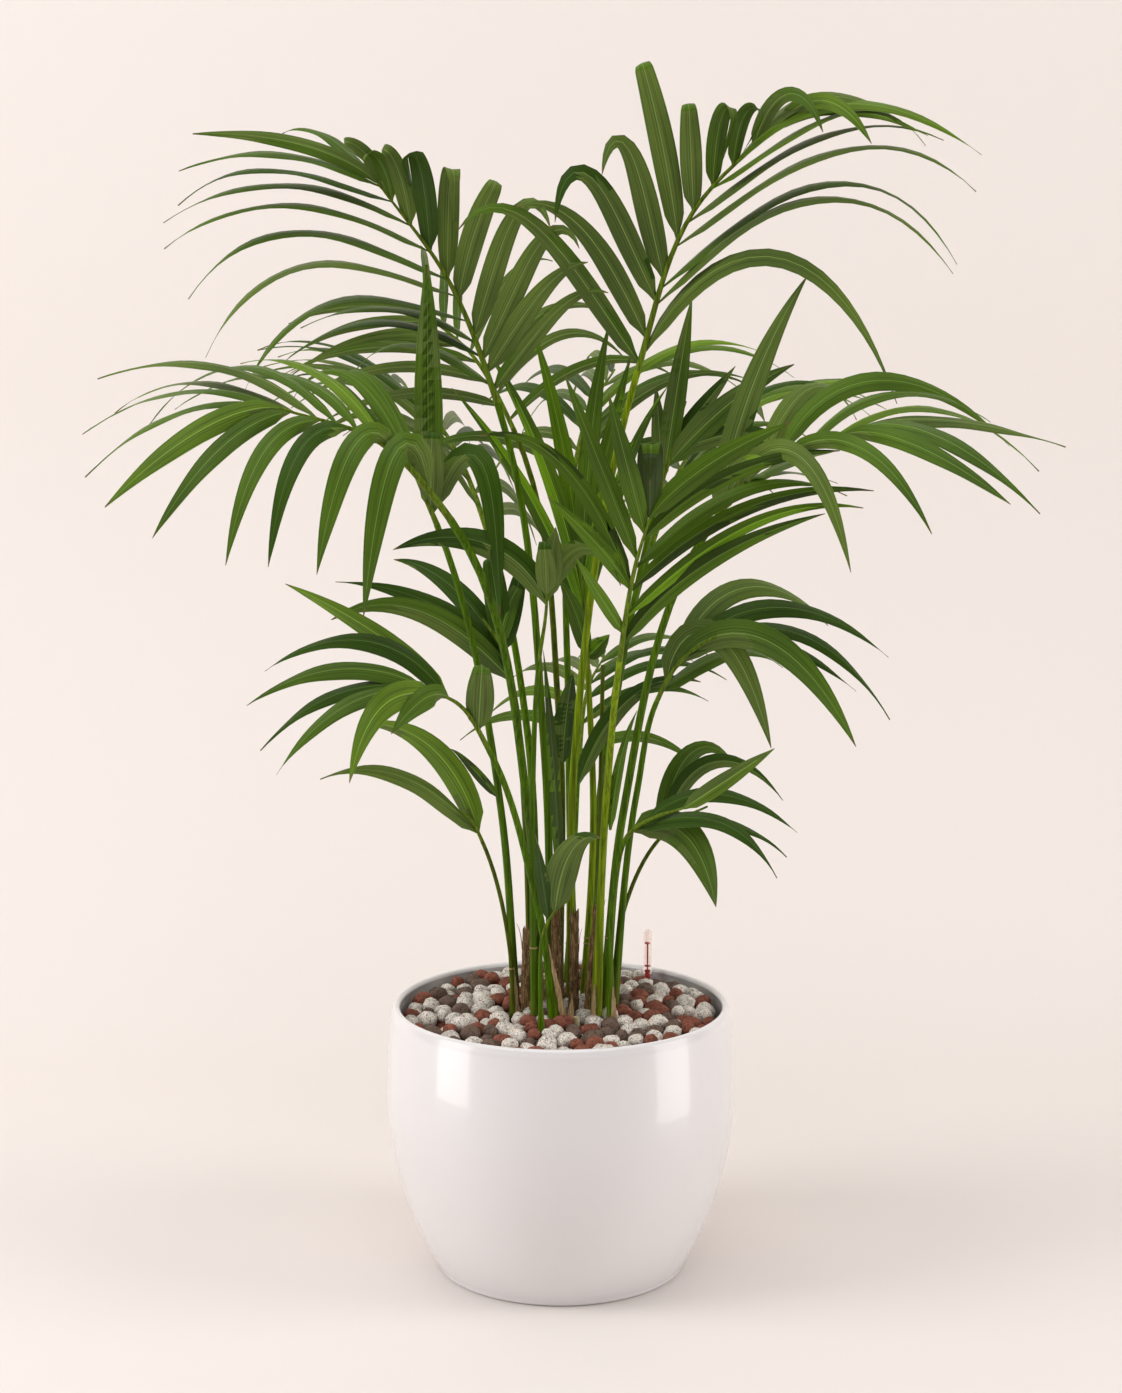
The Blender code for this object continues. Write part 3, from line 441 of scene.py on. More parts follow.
# Leaflets set one by one from the photograph, which grow by the same rule: share of the rib, lean from
# upright in the picture plane and depth towards the viewer in degrees, length, sag, bend, width, the way the
# blade looks, and the share of its length that hangs over. They are all the leaflets of their frond.
FRONT = (0.0, -1.0, 0.15)
SKYWARD = (0.0, -0.55, 0.84)
LEVEL = (0.0, -0.35, 0.94)
EDGE_ON = (0.0, -0.2, 0.98)
Shaped = namedtuple("Shaped", "root lean depth length sag bend width face hang", defaults=(0.0,))
SHAPED = {
    "low_left": (
        (0.69, -29.9, -11.9, 0.21, 0.66, 0.25, 0.02, FRONT),
        (0.73, -26.2, -4.4, 0.21, 1.22, 0.5, 0.022, SKYWARD),
        (1, -58.1, 7.3, 0.186, 1.12, 0.9, 0.024, SKYWARD),
        (1, -76.8, 19.2, 0.184, 1.3, 1.33, 0.02, SKYWARD),
        (1, -80.2, 34.6, 0.19, 1.35, 1.29, 0.022, SKYWARD),
        (0.9, -74.2, 62.2, 0.188, 2.43, 2.5, 0.027, FRONT),
        (0.69, -18, 32.5, 0.118, 1.13, 0.25, 0.022, FRONT),
        (0.2, 4.1, 27.5, 0.067, 0, 14, 0.028, FRONT, 0.5),
    ),
    "low_far_left": (
        (0.21, -40.3, 20.3, 0.198, 0.94, 1.36, 0.024, SKYWARD),
        (0.21, -8, -2.3, 0.179, 1.01, 0.25, 0.027, FRONT),
    ),
    "left_behind": (
        (0.43, -31.8, -16.1, 0.174, 0.81, 1.2, 0.024, FRONT),
        (0.28, -23.2, -0.6, 0.212, 0.91, 0.33, 0.022, SKYWARD),
        (0.19, -41.5, 7.5, 0.217, 1.13, 1.46, 0.025, FRONT),
        (0.59, -5.3, -8, 0.088, 0.4, 0.69, 0.025, FRONT, 0.4),
        (0.52, 12.1, -19.5, 0.078, 0, 14, 0.02, FRONT, 0.3),
        (0.63, 4.5, -5.7, 0.083, 0.95, 0.25, 0.02, FRONT),
    ),
    "right_middle": (
        (0.22, 4.8, 1.7, 0.215, 1.31, 0.25, 0.027, FRONT),
        (0.4, 29.4, 14.7, 0.256, 1.8, 0.68, 0.029, FRONT),
        (0.48, 28.2, -4.9, 0.254, 1.3, 0.51, 0.024, SKYWARD),
        (0.45, 8.9, -4.8, 0.233, 1.15, 0.25, 0.026, SKYWARD),
        (0.59, 52.6, 6, 0.249, 1.92, 1.08, 0.02, SKYWARD),
        (0.68, 37.6, -1.4, 0.187, 1.33, 0.39, 0.017, SKYWARD),
        (0.14, 57.8, -24.9, 0.159, 1.23, 1.97, 0.02, SKYWARD),
    ),
    "low_right": (
        (0.12, 63.1, 13.8, 0.138, 4.63, 1.56, 0.034, FRONT),
        (0.18, 67, 26.6, 0.177, 1.89, 1.95, 0.022, SKYWARD),
        (0.23, 78.9, 7.7, 0.159, 1.17, 1.94, 0.016, SKYWARD),
        (0.36, 38.6, -2.2, 0.171, 1.34, 0.61, 0.018, SKYWARD),
        (1, 55, 5.2, 0.107, 0, 14, 0.017, FRONT),
    ),
    "low_right_behind": (
        (0.14, 5.7, 1.3, 0.186, 1.13, 0.25, 0.018, SKYWARD),
        (0.11, 3.2, -1.2, 0.159, 1.09, 0.25, 0.024, SKYWARD),
    ),
    "front_low_leaf": (
        (0.88, 3.2, 2, 0.108, 1.01, 0.25, 0.032, FRONT),
        (0.47, -8.3, 6.9, 0.093, 0, 14, 0.013, FRONT),
    ),
    "front_dark": (
        (0.61, -12.9, 0.5, 0.181, 1.07, 0.25, 0.027, FRONT),
        (0.77, 7.6, 24.3, 0.071, 0, 14, 0.024, FRONT),
        (0.65, 11.3, 6.8, 0.131, 1.41, 0.66, 0.019, SKYWARD),
        (0.7, -2.2, 42.1, 0.063, 0, 14, 0.02, FRONT, 0.3),
        (0.79, 37.8, -1, 0.079, 0.2, 1.32, 0.015, FRONT),
    ),
    "centre_bright": (
        (0.14, -31.2, 25.4, 0.102, 0, 14, 0.013, FRONT),
        (0.36, -22.2, 10.7, 0.129, 0.59, 0.25, 0.017, FRONT),
        (0.38, -21.6, 8.5, 0.232, 1.01, 1.21, 0.017, FRONT),
        (0.53, -21.5, 19.6, 0.205, 0, 14, 0.018, FRONT),
        (0.82, -15.2, 25.6, 0.156, 0, 14, 0.02, FRONT),
        (1, -0.1, 4.6, 0.095, 1, 0.25, 0.025, FRONT, 0.5),
        (1, 26, 5.7, 0.165, 0.72, 0.25, 0.022, FRONT),
        (0.75, 38.8, 2, 0.212, 0.77, 0.65, 0.016, FRONT),
        (0.47, 44.8, 0.5, 0.232, 1.06, 1.42, 0.02, SKYWARD),
        (0.35, 42.2, 0.1, 0.265, 0.82, 0.88, 0.015, FRONT),
        (0.22, 45.6, 7, 0.264, 0.82, 1.54, 0.014, FRONT),
        (0.07, 20, 5.9, 0.248, 0.84, 0.25, 0.018, FRONT),
    ),
    "centre_upright": (
        (0.18, -9.6, 1.2, 0.295, 0.8, 0.25, 0.016, FRONT),
        (0.36, -5.6, -0.6, 0.298, 0.86, 0.25, 0.018, FRONT),
        (0.53, -3, -1.7, 0.286, 0.85, 0.25, 0.02, FRONT),
        (0.65, 1.3, 0.5, 0.27, 0.91, 0.25, 0.022, FRONT),
        (0.57, 5.1, -1, 0.251, 0.68, 0.25, 0.02, FRONT),
        (0.4, 13.2, 4.5, 0.25, 0.66, 1.28, 0.016, FRONT),
        (0.03, -9.9, 12.2, 0.095, 0.71, 0.6, 0.019, FRONT),
        (0, 43, 9.7, 0.035, 0, 13.56, 0.018, FRONT),
    ),
    "middle_left_small": (
        (0.25, -0, 0, 0.251, 1.01, 0.25, 0.029, FRONT),
        (0.15, 22, 15.7, 0.251, 14.46, 2.46, 0.024, FRONT),
        (0.2, 3.2, 30.5, 0.081, 0, 14, 0.025, FRONT, 0.4),
    ),
    "right_behind": (
        (0.26, 6.8, 0.6, 0.186, 0.25, 0.25, 0.022, FRONT),
        (0.35, 39.7, 12.3, 0.172, 0.48, 1.18, 0.026, FRONT),
        (0.44, 60.6, 13.8, 0.132, 0.8, 1.32, 0.02, FRONT),
        (0.21, -4.3, -4.6, 0.099, 0, 14, 0.018, FRONT),
        (0.59, 39.5, -2.4, 0.1, 0, 14, 0.016, FRONT),
    ),
    "upper_left": (
        (1, -38.2, 10.1, 0.19, 0.81, 0.32, 0.015, FRONT),
        (1, -43.7, -12.1, 0.12, 1.05, 2.23, 0.017, LEVEL),
        (0.98, -60.5, 7.9, 0.204, 0.87, 1.03, 0.019, LEVEL),
        (0.9, -70.1, 16.9, 0.225, 1.23, 2.25, 0.02, LEVEL),
        (0.77, -58.6, 6.5, 0.258, 1.09, 1.12, 0.019, LEVEL),
        (0.63, -60.9, 13.4, 0.282, 1.17, 1.44, 0.02, LEVEL),
        (0.49, -64.1, 11.2, 0.29, 1.76, 2.17, 0.021, LEVEL),
        (0.42, -68.6, 18.9, 0.3, 2.26, 2.27, 0.021, LEVEL),
        (0.32, -70.9, 12.3, 0.281, 2.57, 2.1, 0.02, LEVEL),
        (0.23, -50.7, 1.1, 0.189, 1.03, 0.86, 0.017, LEVEL),
        (0.18, -56, -5.7, 0.222, 1.27, 1.16, 0.018, LEVEL),
        (0.07, -53.9, -12.6, 0.181, 1.82, 2, 0.018, LEVEL),
        (0.94, -10.3, 7.6, 0.063, 0.89, 0.37, 0.014, FRONT, 0.7),
        (0.9, -3.7, 7.1, 0.063, 0.97, 0.25, 0.015, FRONT, 0.7),
        (0.77, -7.5, 13.5, 0.078, 0.78, 0.91, 0.019, FRONT, 0.7),
        (0.63, -2.7, 12.6, 0.106, 0.87, 0.78, 0.022, FRONT, 0.8),
        (0.49, 0.4, 2.4, 0.122, 1, 0.25, 0.022, FRONT, 0.8),
        (0.4, 5.9, 9.7, 0.129, 0.81, 0.25, 0.024, FRONT, 0.6),
        (0.26, 17.3, 17.7, 0.2, 1.91, 3.31, 0.023, FRONT),
        (0.17, 25.6, 18.6, 0.197, 1.98, 4.75, 0.023, FRONT),
        (0.12, 32.9, 19.8, 0.167, 0.78, 2.72, 0.022, FRONT),
        (0.05, 37.2, 17.1, 0.17, 0.99, 3.2, 0.018, FRONT),
    ),
    "upper_right": (
        (0.02, -34.7, 12.6, 0.266, 1.61, 3.66, 0.021, FRONT),
        (0.1, -26.4, 11.4, 0.205, 1.07, 1.92, 0.023, FRONT),
        (0.21, -25.8, 13.7, 0.216, 4.58, 5.06, 0.024, FRONT),
        (0.28, -13.7, 11.9, 0.191, 2.55, 3.96, 0.025, FRONT),
        (0.4, -4.9, 4.5, 0.169, 0.72, 0.25, 0.025, FRONT, 0.35),
        (0.5, -4.1, 17.7, 0.099, 0, 14, 0.022, FRONT, 0.8),
        (0.6, 1, 2.7, 0.091, 1.01, 0.25, 0.019, FRONT, 0.7),
        (0.69, 2.1, 3.4, 0.074, 1.02, 0.25, 0.016, FRONT, 0.6),
        (0.77, 14.9, 13.9, 0.13, 1.71, 0.99, 0.016, FRONT),
        (0.87, 31.9, 22.6, 0.13, 1.73, 0.84, 0.016, FRONT),
        (0.05, 29.2, 7.8, 0.369, 2.18, 1.11, 0.02, (0, -0.6, 0.8)),
        (0.2, 43.2, 7.7, 0.353, 1.71, 1.59, 0.02, LEVEL),
        (0.25, 47.9, 3.8, 0.356, 1.99, 2.06, 0.02, LEVEL),
        (0.38, 52, 11.4, 0.332, 1.41, 2.02, 0.022, LEVEL),
        (0.46, 50.7, 7.4, 0.277, 1.01, 1.75, 0.021, LEVEL),
        (0.59, 55.8, 13.1, 0.241, 1.77, 3.19, 0.02, LEVEL),
        (0.69, 30.9, 9.2, 0.273, 1.26, 0.54, 0.019, LEVEL),
        (0.75, 23.4, 6.2, 0.183, 1.26, 0.53, 0.018, LEVEL),
        (0.84, 25.3, 4.4, 0.163, 1.13, 0.25, 0.016, LEVEL),
    ),
    "middle_left": (
        (1, -64.1, 40.8, 0.217, 1.07, 0.43, 0.022, FRONT),
        (0.95, -94.6, 51.9, 0.212, 1.13, 0.88, 0.019, FRONT),
        (0.81, -90.7, 61.8, 0.215, 2.77, 1.58, 0.019, FRONT),
        (0.67, -79.2, 63.1, 0.208, 3.77, 1.76, 0.019, FRONT),
        (0.42, -13.6, 16.9, 0.197, 2.26, 0.53, 0.024, FRONT),
        (0.18, -2.6, 3.3, 0.24, 1.42, 0.25, 0.026, FRONT),
        (1, -70.3, 6, 0.203, 1.31, 0.87, 0.02, EDGE_ON),
        (1, -60.8, -12.6, 0.214, 1.08, 0.8, 0.02, EDGE_ON),
        (0.91, -63.3, -21.5, 0.217, 1.06, 1.45, 0.019, EDGE_ON),
        (0.81, -41.8, -6.1, 0.234, 0.99, 0.63, 0.021, EDGE_ON),
        (0.72, -38.6, -15.7, 0.248, 1.5, 0.97, 0.018, EDGE_ON),
        (0.62, -18.3, -9.3, 0.24, 1.15, 0.3, 0.017, EDGE_ON),
        (0.48, -26.8, -18.1, 0.213, 0.96, 0.62, 0.015, LEVEL),
        (0.37, -36.5, -20.2, 0.166, 1.12, 2.29, 0.015, LEVEL),
        (0.27, -25.5, -13.9, 0.206, 1.6, 1.73, 0.015, (0, -0.7, 0.7)),
        (0.19, -24.4, -23.1, 0.209, 1.57, 2.53, 0.015, (0, -0.7, 0.7)),
    ),
    "middle_right": (
        (0.23, 20.6, 23.8, 0.244, 2.36, 1, 0.02, FRONT),
        (0.63, 50.6, 44, 0.224, 1.7, 1.06, 0.017, FRONT),
        (0.92, 38.2, 38.1, 0.223, 1.03, 0.25, 0.018, FRONT),
        (0.94, 44.7, 35, 0.241, 1.24, 0.48, 0.02, (0, -0.5, 0.86)),
        (0.97, 44.2, 4.5, 0.205, 0.95, 0.25, 0.021, (0, -0.4, 0.9)),
        (0.87, 49.2, -2.1, 0.227, 1.47, 0.85, 0.02, EDGE_ON),
        (0.74, 33.6, -5.1, 0.207, 1.21, 0.64, 0.02, EDGE_ON),
        (0.61, 12.1, -2, 0.28, 1.18, 0.25, 0.021, (0, -0.5, 0.86)),
        (0.47, 20.9, -9.7, 0.167, 1.66, 1.43, 0.022, (0, -0.7, 0.7)),
        (0.34, 63.4, -37.6, 0.14, 0.33, 1.06, 0.018, EDGE_ON),
        (0.38, 44.2, -42, 0.169, 0.74, 0.25, 0.016, EDGE_ON),
        (0.18, 9.9, 15.4, 0.092, 1.06, 0.48, 0.024, FRONT),
        (0.07, 6.3, -2.2, 0.258, 0.83, 0.25, 0.026, FRONT),
        (0.1, 8.2, 5.7, 0.079, 0.88, 0.25, 0.024, FRONT, 0.3),
    ),
}
# Single blades in the clump, by the same numbers, with a root point of their own.
LOOSE = {
    "small_blades": (
        ((0.002, 0.05, 0.522), 1.7, -0, 0.096, 0.85, 0.25, 0.026, FRONT),
        ((0.018, 0.015, 0.506), 16.8, -2, 0.183, 1.05, 0.68, 0.019, FRONT),
    ),
    "young_blades": (
        ((-0.001, -0.048, 0.414), -1.4, -0.3, 0.239, 0.77, 0.25, 0.012, FRONT),
        ((-0.064, -0.052, 0.506), -38.9, 14.1, 0.071, 0.44, 6.36, 0.01, FRONT),
        ((0.05, -0.026, 0.466), 2.7, 0.4, 0.127, 0.9, 0.25, 0.011, FRONT),
    ),
}

# Cut stubs of old petioles: (x, y, radius, height above the granulate, lean in x).
STUBS = {
    "stub_left": (-0.034, 0.012, 0.0055, 0.096, 0.0),
    "stub_middle": (-0.003, 0.014, 0.0045, 0.128, -0.003),
    "stub_inner": (0.013, 0.012, 0.004, 0.112, 0.001),
    "stub_right": (0.03, 0.008, 0.005, 0.118, 0.009),
    "cut_petiole": (0.037, 0.025, 0.0026, 0.366, 0.006),
}

# Petioles whose sheath has a dry papery margin: (side in degrees from +X, start and end above the granulate).
MARGINS = {
    "low_left": (-38.0, 0.0, 0.086),
    "low_far_left": (-30.0, 0.0, 0.056),
    "middle_left": (-60.0, 0.004, 0.06),
    "centre_bright": (-120.0, 0.0, 0.04),
    "centre_upright": (-40.0, 0.004, 0.05),
    "middle_right": (-140.0, 0.0, 0.034),
    "low_right": (-60.0, 0.004, 0.04),
    "rear_tall": (100.0, 0.004, 0.07),
    "rear_left": (120.0, 0.004, 0.06),
}

# Ring scars on the petioles: heights above the granulate.
RINGS = {
    "middle_right": (0.084,),
    "centre_upright": (0.066, 0.072),
    "front_dark": (0.078,),
    "low_far_left": (0.054,),
    "middle_left": (0.112,),
    "rear_low": (0.05,),
}

# Pointed dry scales at the foot of the clump: (x, y, height, width, lean).
SCALES = (
    (0.0085, -0.03, 0.036, 0.006, 8.0),
    (0.035, -0.014, 0.03, 0.006, 10.0),
    (-0.03, -0.004, 0.026, 0.005, -6.0),
    (0.012, 0.088, 0.03, 0.006, 5.0),
)

# Petioles that are not green: the number of their finish in SCURFS.
STEM_TINTS = {
    "centre_bright": 1,
    "centre_upright": 1,
    "low_right_behind": 2,
    "low_far_left": 2,
    "back_left_tall": 2,
    "left_behind": 2,
    "upper_right": 1,
}

# Angles in degrees over which an edge stays sharp.
SHARP_HARD = 35.0
SHARP_STUB = 50.0
SHARP_SOFT = 60.0
SHARP_PEBBLE = 80.0

LEAF_ROUGHNESS = 0.37
BACK_ROUGHNESS = 0.55
# A blade's midrib is its own colour made paler by a factor and an addition.
RIB_PALER = 1.9
RIB_PALE = 0.03
DRY_TIP = (0.20, 0.13, 0.05)
# Stem finishes: (flecks, foot), the foot's colour fading out over EARTH_REACH metres above the granulate.
SCURFS = {
    "green": ((0.20, 0.21, 0.08), (0.22, 0.17, 0.06)),
    "yellow": ((0.28, 0.28, 0.10), (0.26, 0.20, 0.07)),
    "olive": ((0.22, 0.20, 0.09), (0.20, 0.14, 0.06)),
}
EARTH_REACH = 0.11
RIB_SCURF = (0.30, 0.32, 0.12)
MARGIN_LIGHT = (0.62, 0.48, 0.28)
FIBRE_LIGHT = (0.46, 0.30, 0.14)


def new_material(name, **sockets):
    """(material, its node tree) with the values of a Principled surface that are the same all over it."""
    material = bpy.data.materials.new(name)
    material.use_nodes = True
    tree = material.node_tree
    for socket, value in sockets.items():
        tree.nodes["Principled BSDF"].inputs[socket.replace("_", " ")].default_value = value
    return material, tree


def node(tree, kind, **values):
    """A shader node with its settings and the values of its sockets."""
    made = tree.nodes.new(kind)
    for key, value in values.items():
        if hasattr(made, key):
            setattr(made, key, value)
        else:
            made.inputs[key.replace("_", " ")].default_value = value
    return made


def placed(tree, target, source="Object", stretch=(1.0, 1.0, 1.0)):
    """Gives a node coordinates from the object or its UV map, stretched, and returns its outputs."""
    coordinates = node(tree, "ShaderNodeTexCoord")
    mapping = node(tree, "ShaderNodeMapping", Scale=stretch)
    tree.links.new(coordinates.outputs[source], mapping.inputs["Vector"])
    tree.links.new(mapping.outputs["Vector"], target.inputs["Vector"])
    return target.outputs


def cloud(tree, scale, detail, roughness=0.5, **place):
    """The outputs of a noise texture laid on the object or its UV map."""
    made = node(tree, "ShaderNodeTexNoise", Scale=scale, Detail=detail, Roughness=roughness)
    return placed(tree, made, **place)


def ramp(tree, value, stops):
    """A colour ramp: stops are (place, colour), or (place, grey)."""
    made = node(tree, "ShaderNodeValToRGB")
    elements = made.color_ramp.elements
    while len(elements) < len(stops):
        elements.new(0.5)
    for element, (place, colour) in zip(elements, stops):
        element.position = place
        element.color = (colour,) * 3 + (1.0,) if isinstance(colour, float) else (*colour, 1.0)
    tree.links.new(value, made.inputs["Fac"])
    return made.outputs["Color"]


def mixed(tree, fac, first, second, blend="MIX"):
    """Two colours mixed by a socket or a number; first and second are sockets or colours."""
    made = node(tree, "ShaderNodeMix", data_type="RGBA", blend_type=blend)
    for value, socket in ((fac, made.inputs[0]), (first, made.inputs[6]), (second, made.inputs[7])):
        if isinstance(value, bpy.types.NodeSocket):
            tree.links.new(value, socket)
        elif isinstance(value, float):
            socket.default_value = value
        else:
            socket.default_value = (*value, 1.0)
    return made.outputs[2]


def bumped(tree, height, strength, distance):
    """Gives the surface a relief from a height socket."""
    bump = node(tree, "ShaderNodeBump", Strength=strength, Distance=distance)
    tree.links.new(height, bump.inputs["Height"])
    tree.links.new(bump.outputs["Normal"], tree.nodes["Principled BSDF"].inputs["Normal"])


def shade(tree, colour):
    """Gives the surface its colour from a socket."""
    tree.links.new(colour, tree.nodes["Principled BSDF"].inputs["Base Color"])


def darker(colour, share):
    """A share of a colour; a share over 1 makes it lighter."""
    return tuple(channel * share for channel in colour)


def glaze_material(colour):
    """Opaque white glaze, very slightly uneven, under a clear gloss."""
    material, tree = new_material(
        "glaze", Roughness=0.22, Coat_Weight=0.6, Coat_Roughness=0.03, Specular_IOR_Level=0.5)
    tone = cloud(tree, scale=6.0, detail=2.0)
    shade(tree, ramp(tree, tone["Fac"], [(0.3, darker(colour, 0.985)), (0.7, colour)]))
    wave = cloud(tree, scale=14.0, detail=1.0)
    bumped(tree, wave["Fac"], strength=0.03, distance=0.002)
    return material


def pebble_material(name, colour, speck_and_pit_shade, roughness):
    """Rough fired granule: cloudy colour, dark specks, painted shade in its pits, and a pitted relief."""
    material, tree = new_material(name, Roughness=roughness, Specular_IOR_Level=0.2)
    tone = cloud(tree, scale=95.0, detail=3.0, roughness=0.6)
    pits = placed(tree, node(tree, "ShaderNodeTexVoronoi", Scale=430.0, Randomness=1.0))
    grain = cloud(tree, scale=560.0, detail=4.0, roughness=0.7)
    stops = [(0.32, darker(colour, 0.62)), (0.50, colour), (0.70, darker(colour, 1.20))]
    # Painted shade in the pits: their centres darken to the speck colour, together with the real dark specks.
    pit_shade = ramp(tree, pits["Distance"], [(0.08, 1.0), (0.30, 0.0)])
    specks = ramp(tree, grain["Fac"], [(0.40, 1.0), (0.47, 0.0)])
    marks = mixed(tree, 1.0, pit_shade, specks, "LIGHTEN")
    marks = mixed(tree, 1.0, marks, (0.80, 0.80, 0.80), "MULTIPLY")
    shade(tree, mixed(tree, marks, ramp(tree, tone["Fac"], stops), speck_and_pit_shade))
    bumped(tree, mixed(tree, 0.5, grain["Color"], pits["Color"]), strength=0.55, distance=0.0016)
    return material


def leaf_material(name, colour, roughness):
    """A leaf blade read from its own UV map: u runs across the blade and v from root to tip."""
    material, tree = new_material(name, Roughness=roughness, Specular_IOR_Level=0.24)
    parts = placed(tree, node(tree, "ShaderNodeSeparateXYZ"), source="UV")
    streaks = cloud(tree, scale=1.0, detail=3.0, roughness=0.6, source="UV", stretch=(30.0, 1.1, 1.0))
    patches = cloud(tree, scale=7.0, detail=2.0)
    body = ramp(tree, streaks["Fac"], [(0.38, darker(colour, 0.62)), (0.62, darker(colour, 1.34))])
    cloudy = ramp(tree, patches["Fac"], [(0.35, (0.72, 0.74, 0.72)), (0.65, (1.22, 1.20, 1.10))])
    body = mixed(tree, 1.0, body, cloudy, "MULTIPLY")
    edge_to_rib = [(0.0, 0.35), (0.03, 0.0), (0.465, 0.0), (0.495, 1.0)]
    rib_to_edge = [(0.505, 1.0), (0.535, 0.0), (0.97, 0.0), (1.0, 0.35)]
    pale = tuple(min(1.0, channel * RIB_PALER + RIB_PALE) for channel in colour)
    body = mixed(tree, ramp(tree, parts["X"], edge_to_rib + rib_to_edge), body, pale)
    tip = ramp(tree, parts["Y"], [(0.955, 0.0), (0.995, 1.0)])
    shade(tree, mixed(tree, tip, body, DRY_TIP))
    veins = cloud(tree, scale=1.0, detail=2.0, source="UV", stretch=(90.0, 0.8, 1.0))
    bumped(tree, veins["Fac"], strength=0.5, distance=0.0010)
    return material


def stem_material(name, colour, scurf, foot=None):
    """Green stem with long streaks and dusty flecks, browner where it comes out of the granulate."""
    material, tree = new_material(name, Roughness=0.48, Specular_IOR_Level=0.10)
    streaks = cloud(tree, scale=1.0, detail=3.0, roughness=0.6, stretch=(420.0, 420.0, 9.0))
    flecks = cloud(tree, scale=1.0, detail=4.0, roughness=0.7, stretch=(520.0, 520.0, 130.0))
    earth = cloud(tree, scale=60.0, detail=4.0, roughness=0.7, stretch=(1.0, 1.0, 0.25))
    body = ramp(tree, streaks["Fac"], [(0.34, darker(colour, 0.55)), (0.66, darker(colour, 1.45))])
    body = mixed(tree, ramp(tree, flecks["Fac"], [(0.62, 0.0), (0.80, 0.4)]), body, scurf)
    height = placed(tree, node(tree, "ShaderNodeSeparateXYZ"))
    low = ramp(tree, height["Z"], [(FILL_TOP, 1.0), (FILL_TOP + EARTH_REACH, 0.0)])
    earthy = mixed(tree, 1.0, low, ramp(tree, earth["Fac"], [(0.46, 0.0), (0.70, 0.60)]), "MULTIPLY")
    shade(tree, mixed(tree, earthy, body, foot or scurf))
    bumped(tree, streaks["Fac"], strength=0.30, distance=0.0006)
    return material


def fibre_material(name, colour, light, roughness=0.85):
    """Dry fibrous sheath: light and dark strands along the stem, broken by flecks."""
    material, tree = new_material(name, Roughness=roughness, Specular_IOR_Level=0.2)
    strands = cloud(tree, scale=1.0, detail=5.0, roughness=0.75, stretch=(700.0, 700.0, 60.0))
    flecks = cloud(tree, scale=330.0, detail=3.0, roughness=0.7, stretch=(1.0, 1.0, 0.6))
    body = ramp(tree, strands["Fac"], [(0.36, darker(colour, 0.35)), (0.52, colour), (0.68, light)])
    shade(tree, mixed(tree, ramp(tree, flecks["Fac"], [(0.56, 0.0), (0.70, 0.55)]), body, light))
    bumped(tree, strands["Fac"], strength=0.8, distance=0.0012)
    return material


def plain_relief_material(name, colour, roughness, scale, depth):
    """One colour, clouded a little, with a fine relief."""
    material, tree = new_material(name, Roughness=roughness)
    tone = cloud(tree, scale, detail=3.0)
    shade(tree, ramp(tree, tone["Fac"], [(0.3, darker(colour, 0.86)), (0.7, darker(colour, 1.08))]))
    bumped(tree, tone["Fac"], strength=0.2, distance=depth)
    return material


def clear_material():
    """The indicator's tube: clear, faintly pink, and not quite even."""
    material, tree = new_material(
        "clear_tube", Roughness=0.03, Transmission_Weight=1.0, IOR=1.46, Base_Color=(0.96, 0.90, 0.88, 1.0))
    haze = cloud(tree, scale=160.0, detail=2.0)
    bumped(tree, haze["Fac"], strength=0.05, distance=0.0003)
    return material


def backdrop_material(colour):
    """Matt paper, all but even. From behind it is clear, so that the plant is seen from every side."""
    material, tree = new_material("backdrop", Roughness=0.8, Specular_IOR_Level=0.2)
    tone = cloud(tree, scale=0.8, detail=1.0)
    shade(tree, ramp(tree, tone["Fac"], [(0.3, darker(colour, 0.99)), (0.7, darker(colour, 1.005))]))
    clear = node(tree, "ShaderNodeBsdfTransparent")
    side = node(tree, "ShaderNodeNewGeometry")
    seen = node(tree, "ShaderNodeMixShader")
    tree.links.new(side.outputs["Backfacing"], seen.inputs[0])
    tree.links.new(tree.nodes["Principled BSDF"].outputs[0], seen.inputs[1])
    tree.links.new(clear.outputs[0], seen.inputs[2])
    tree.links.new(seen.outputs[0], tree.nodes["Material Output"].inputs["Surface"])
    return material


def add_piece(name, bm, sharp, materials, slot, replaced=()):
    """Makes a bmesh a piece of the plant that rides on the one body."""
    mesh = mesh_of(name, bm, sharp)
    for material in materials:
        mesh.materials.append(material)
    item = bpy.data.objects.new(name, mesh)
    bpy.context.scene.collection.objects.link(item)
    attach(item, "root")
    if replaced:
        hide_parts(*replaced)


def mesh_of(name, bm, sharp):
    """A mesh from a bmesh, which is freed; it is shaded smooth up to an angle in degrees."""
    mesh = bpy.data.meshes.new(name)
    bm.to_mesh(mesh)
    bm.free()
    mesh.shade_smooth()
    mesh.set_sharp_from_angle(angle=math.radians(sharp))
    return mesh


def add_part(bm, part):
    """Adds one bmesh to another and frees it."""
    mesh = bpy.data.meshes.new("part")
    part.to_mesh(mesh)
    part.free()
    bm.from_mesh(mesh)
    bpy.data.meshes.remove(mesh)


def set_tint(faces, number):
    """Gives faces the material of that number."""
    for face in faces:
        face.material_index = number


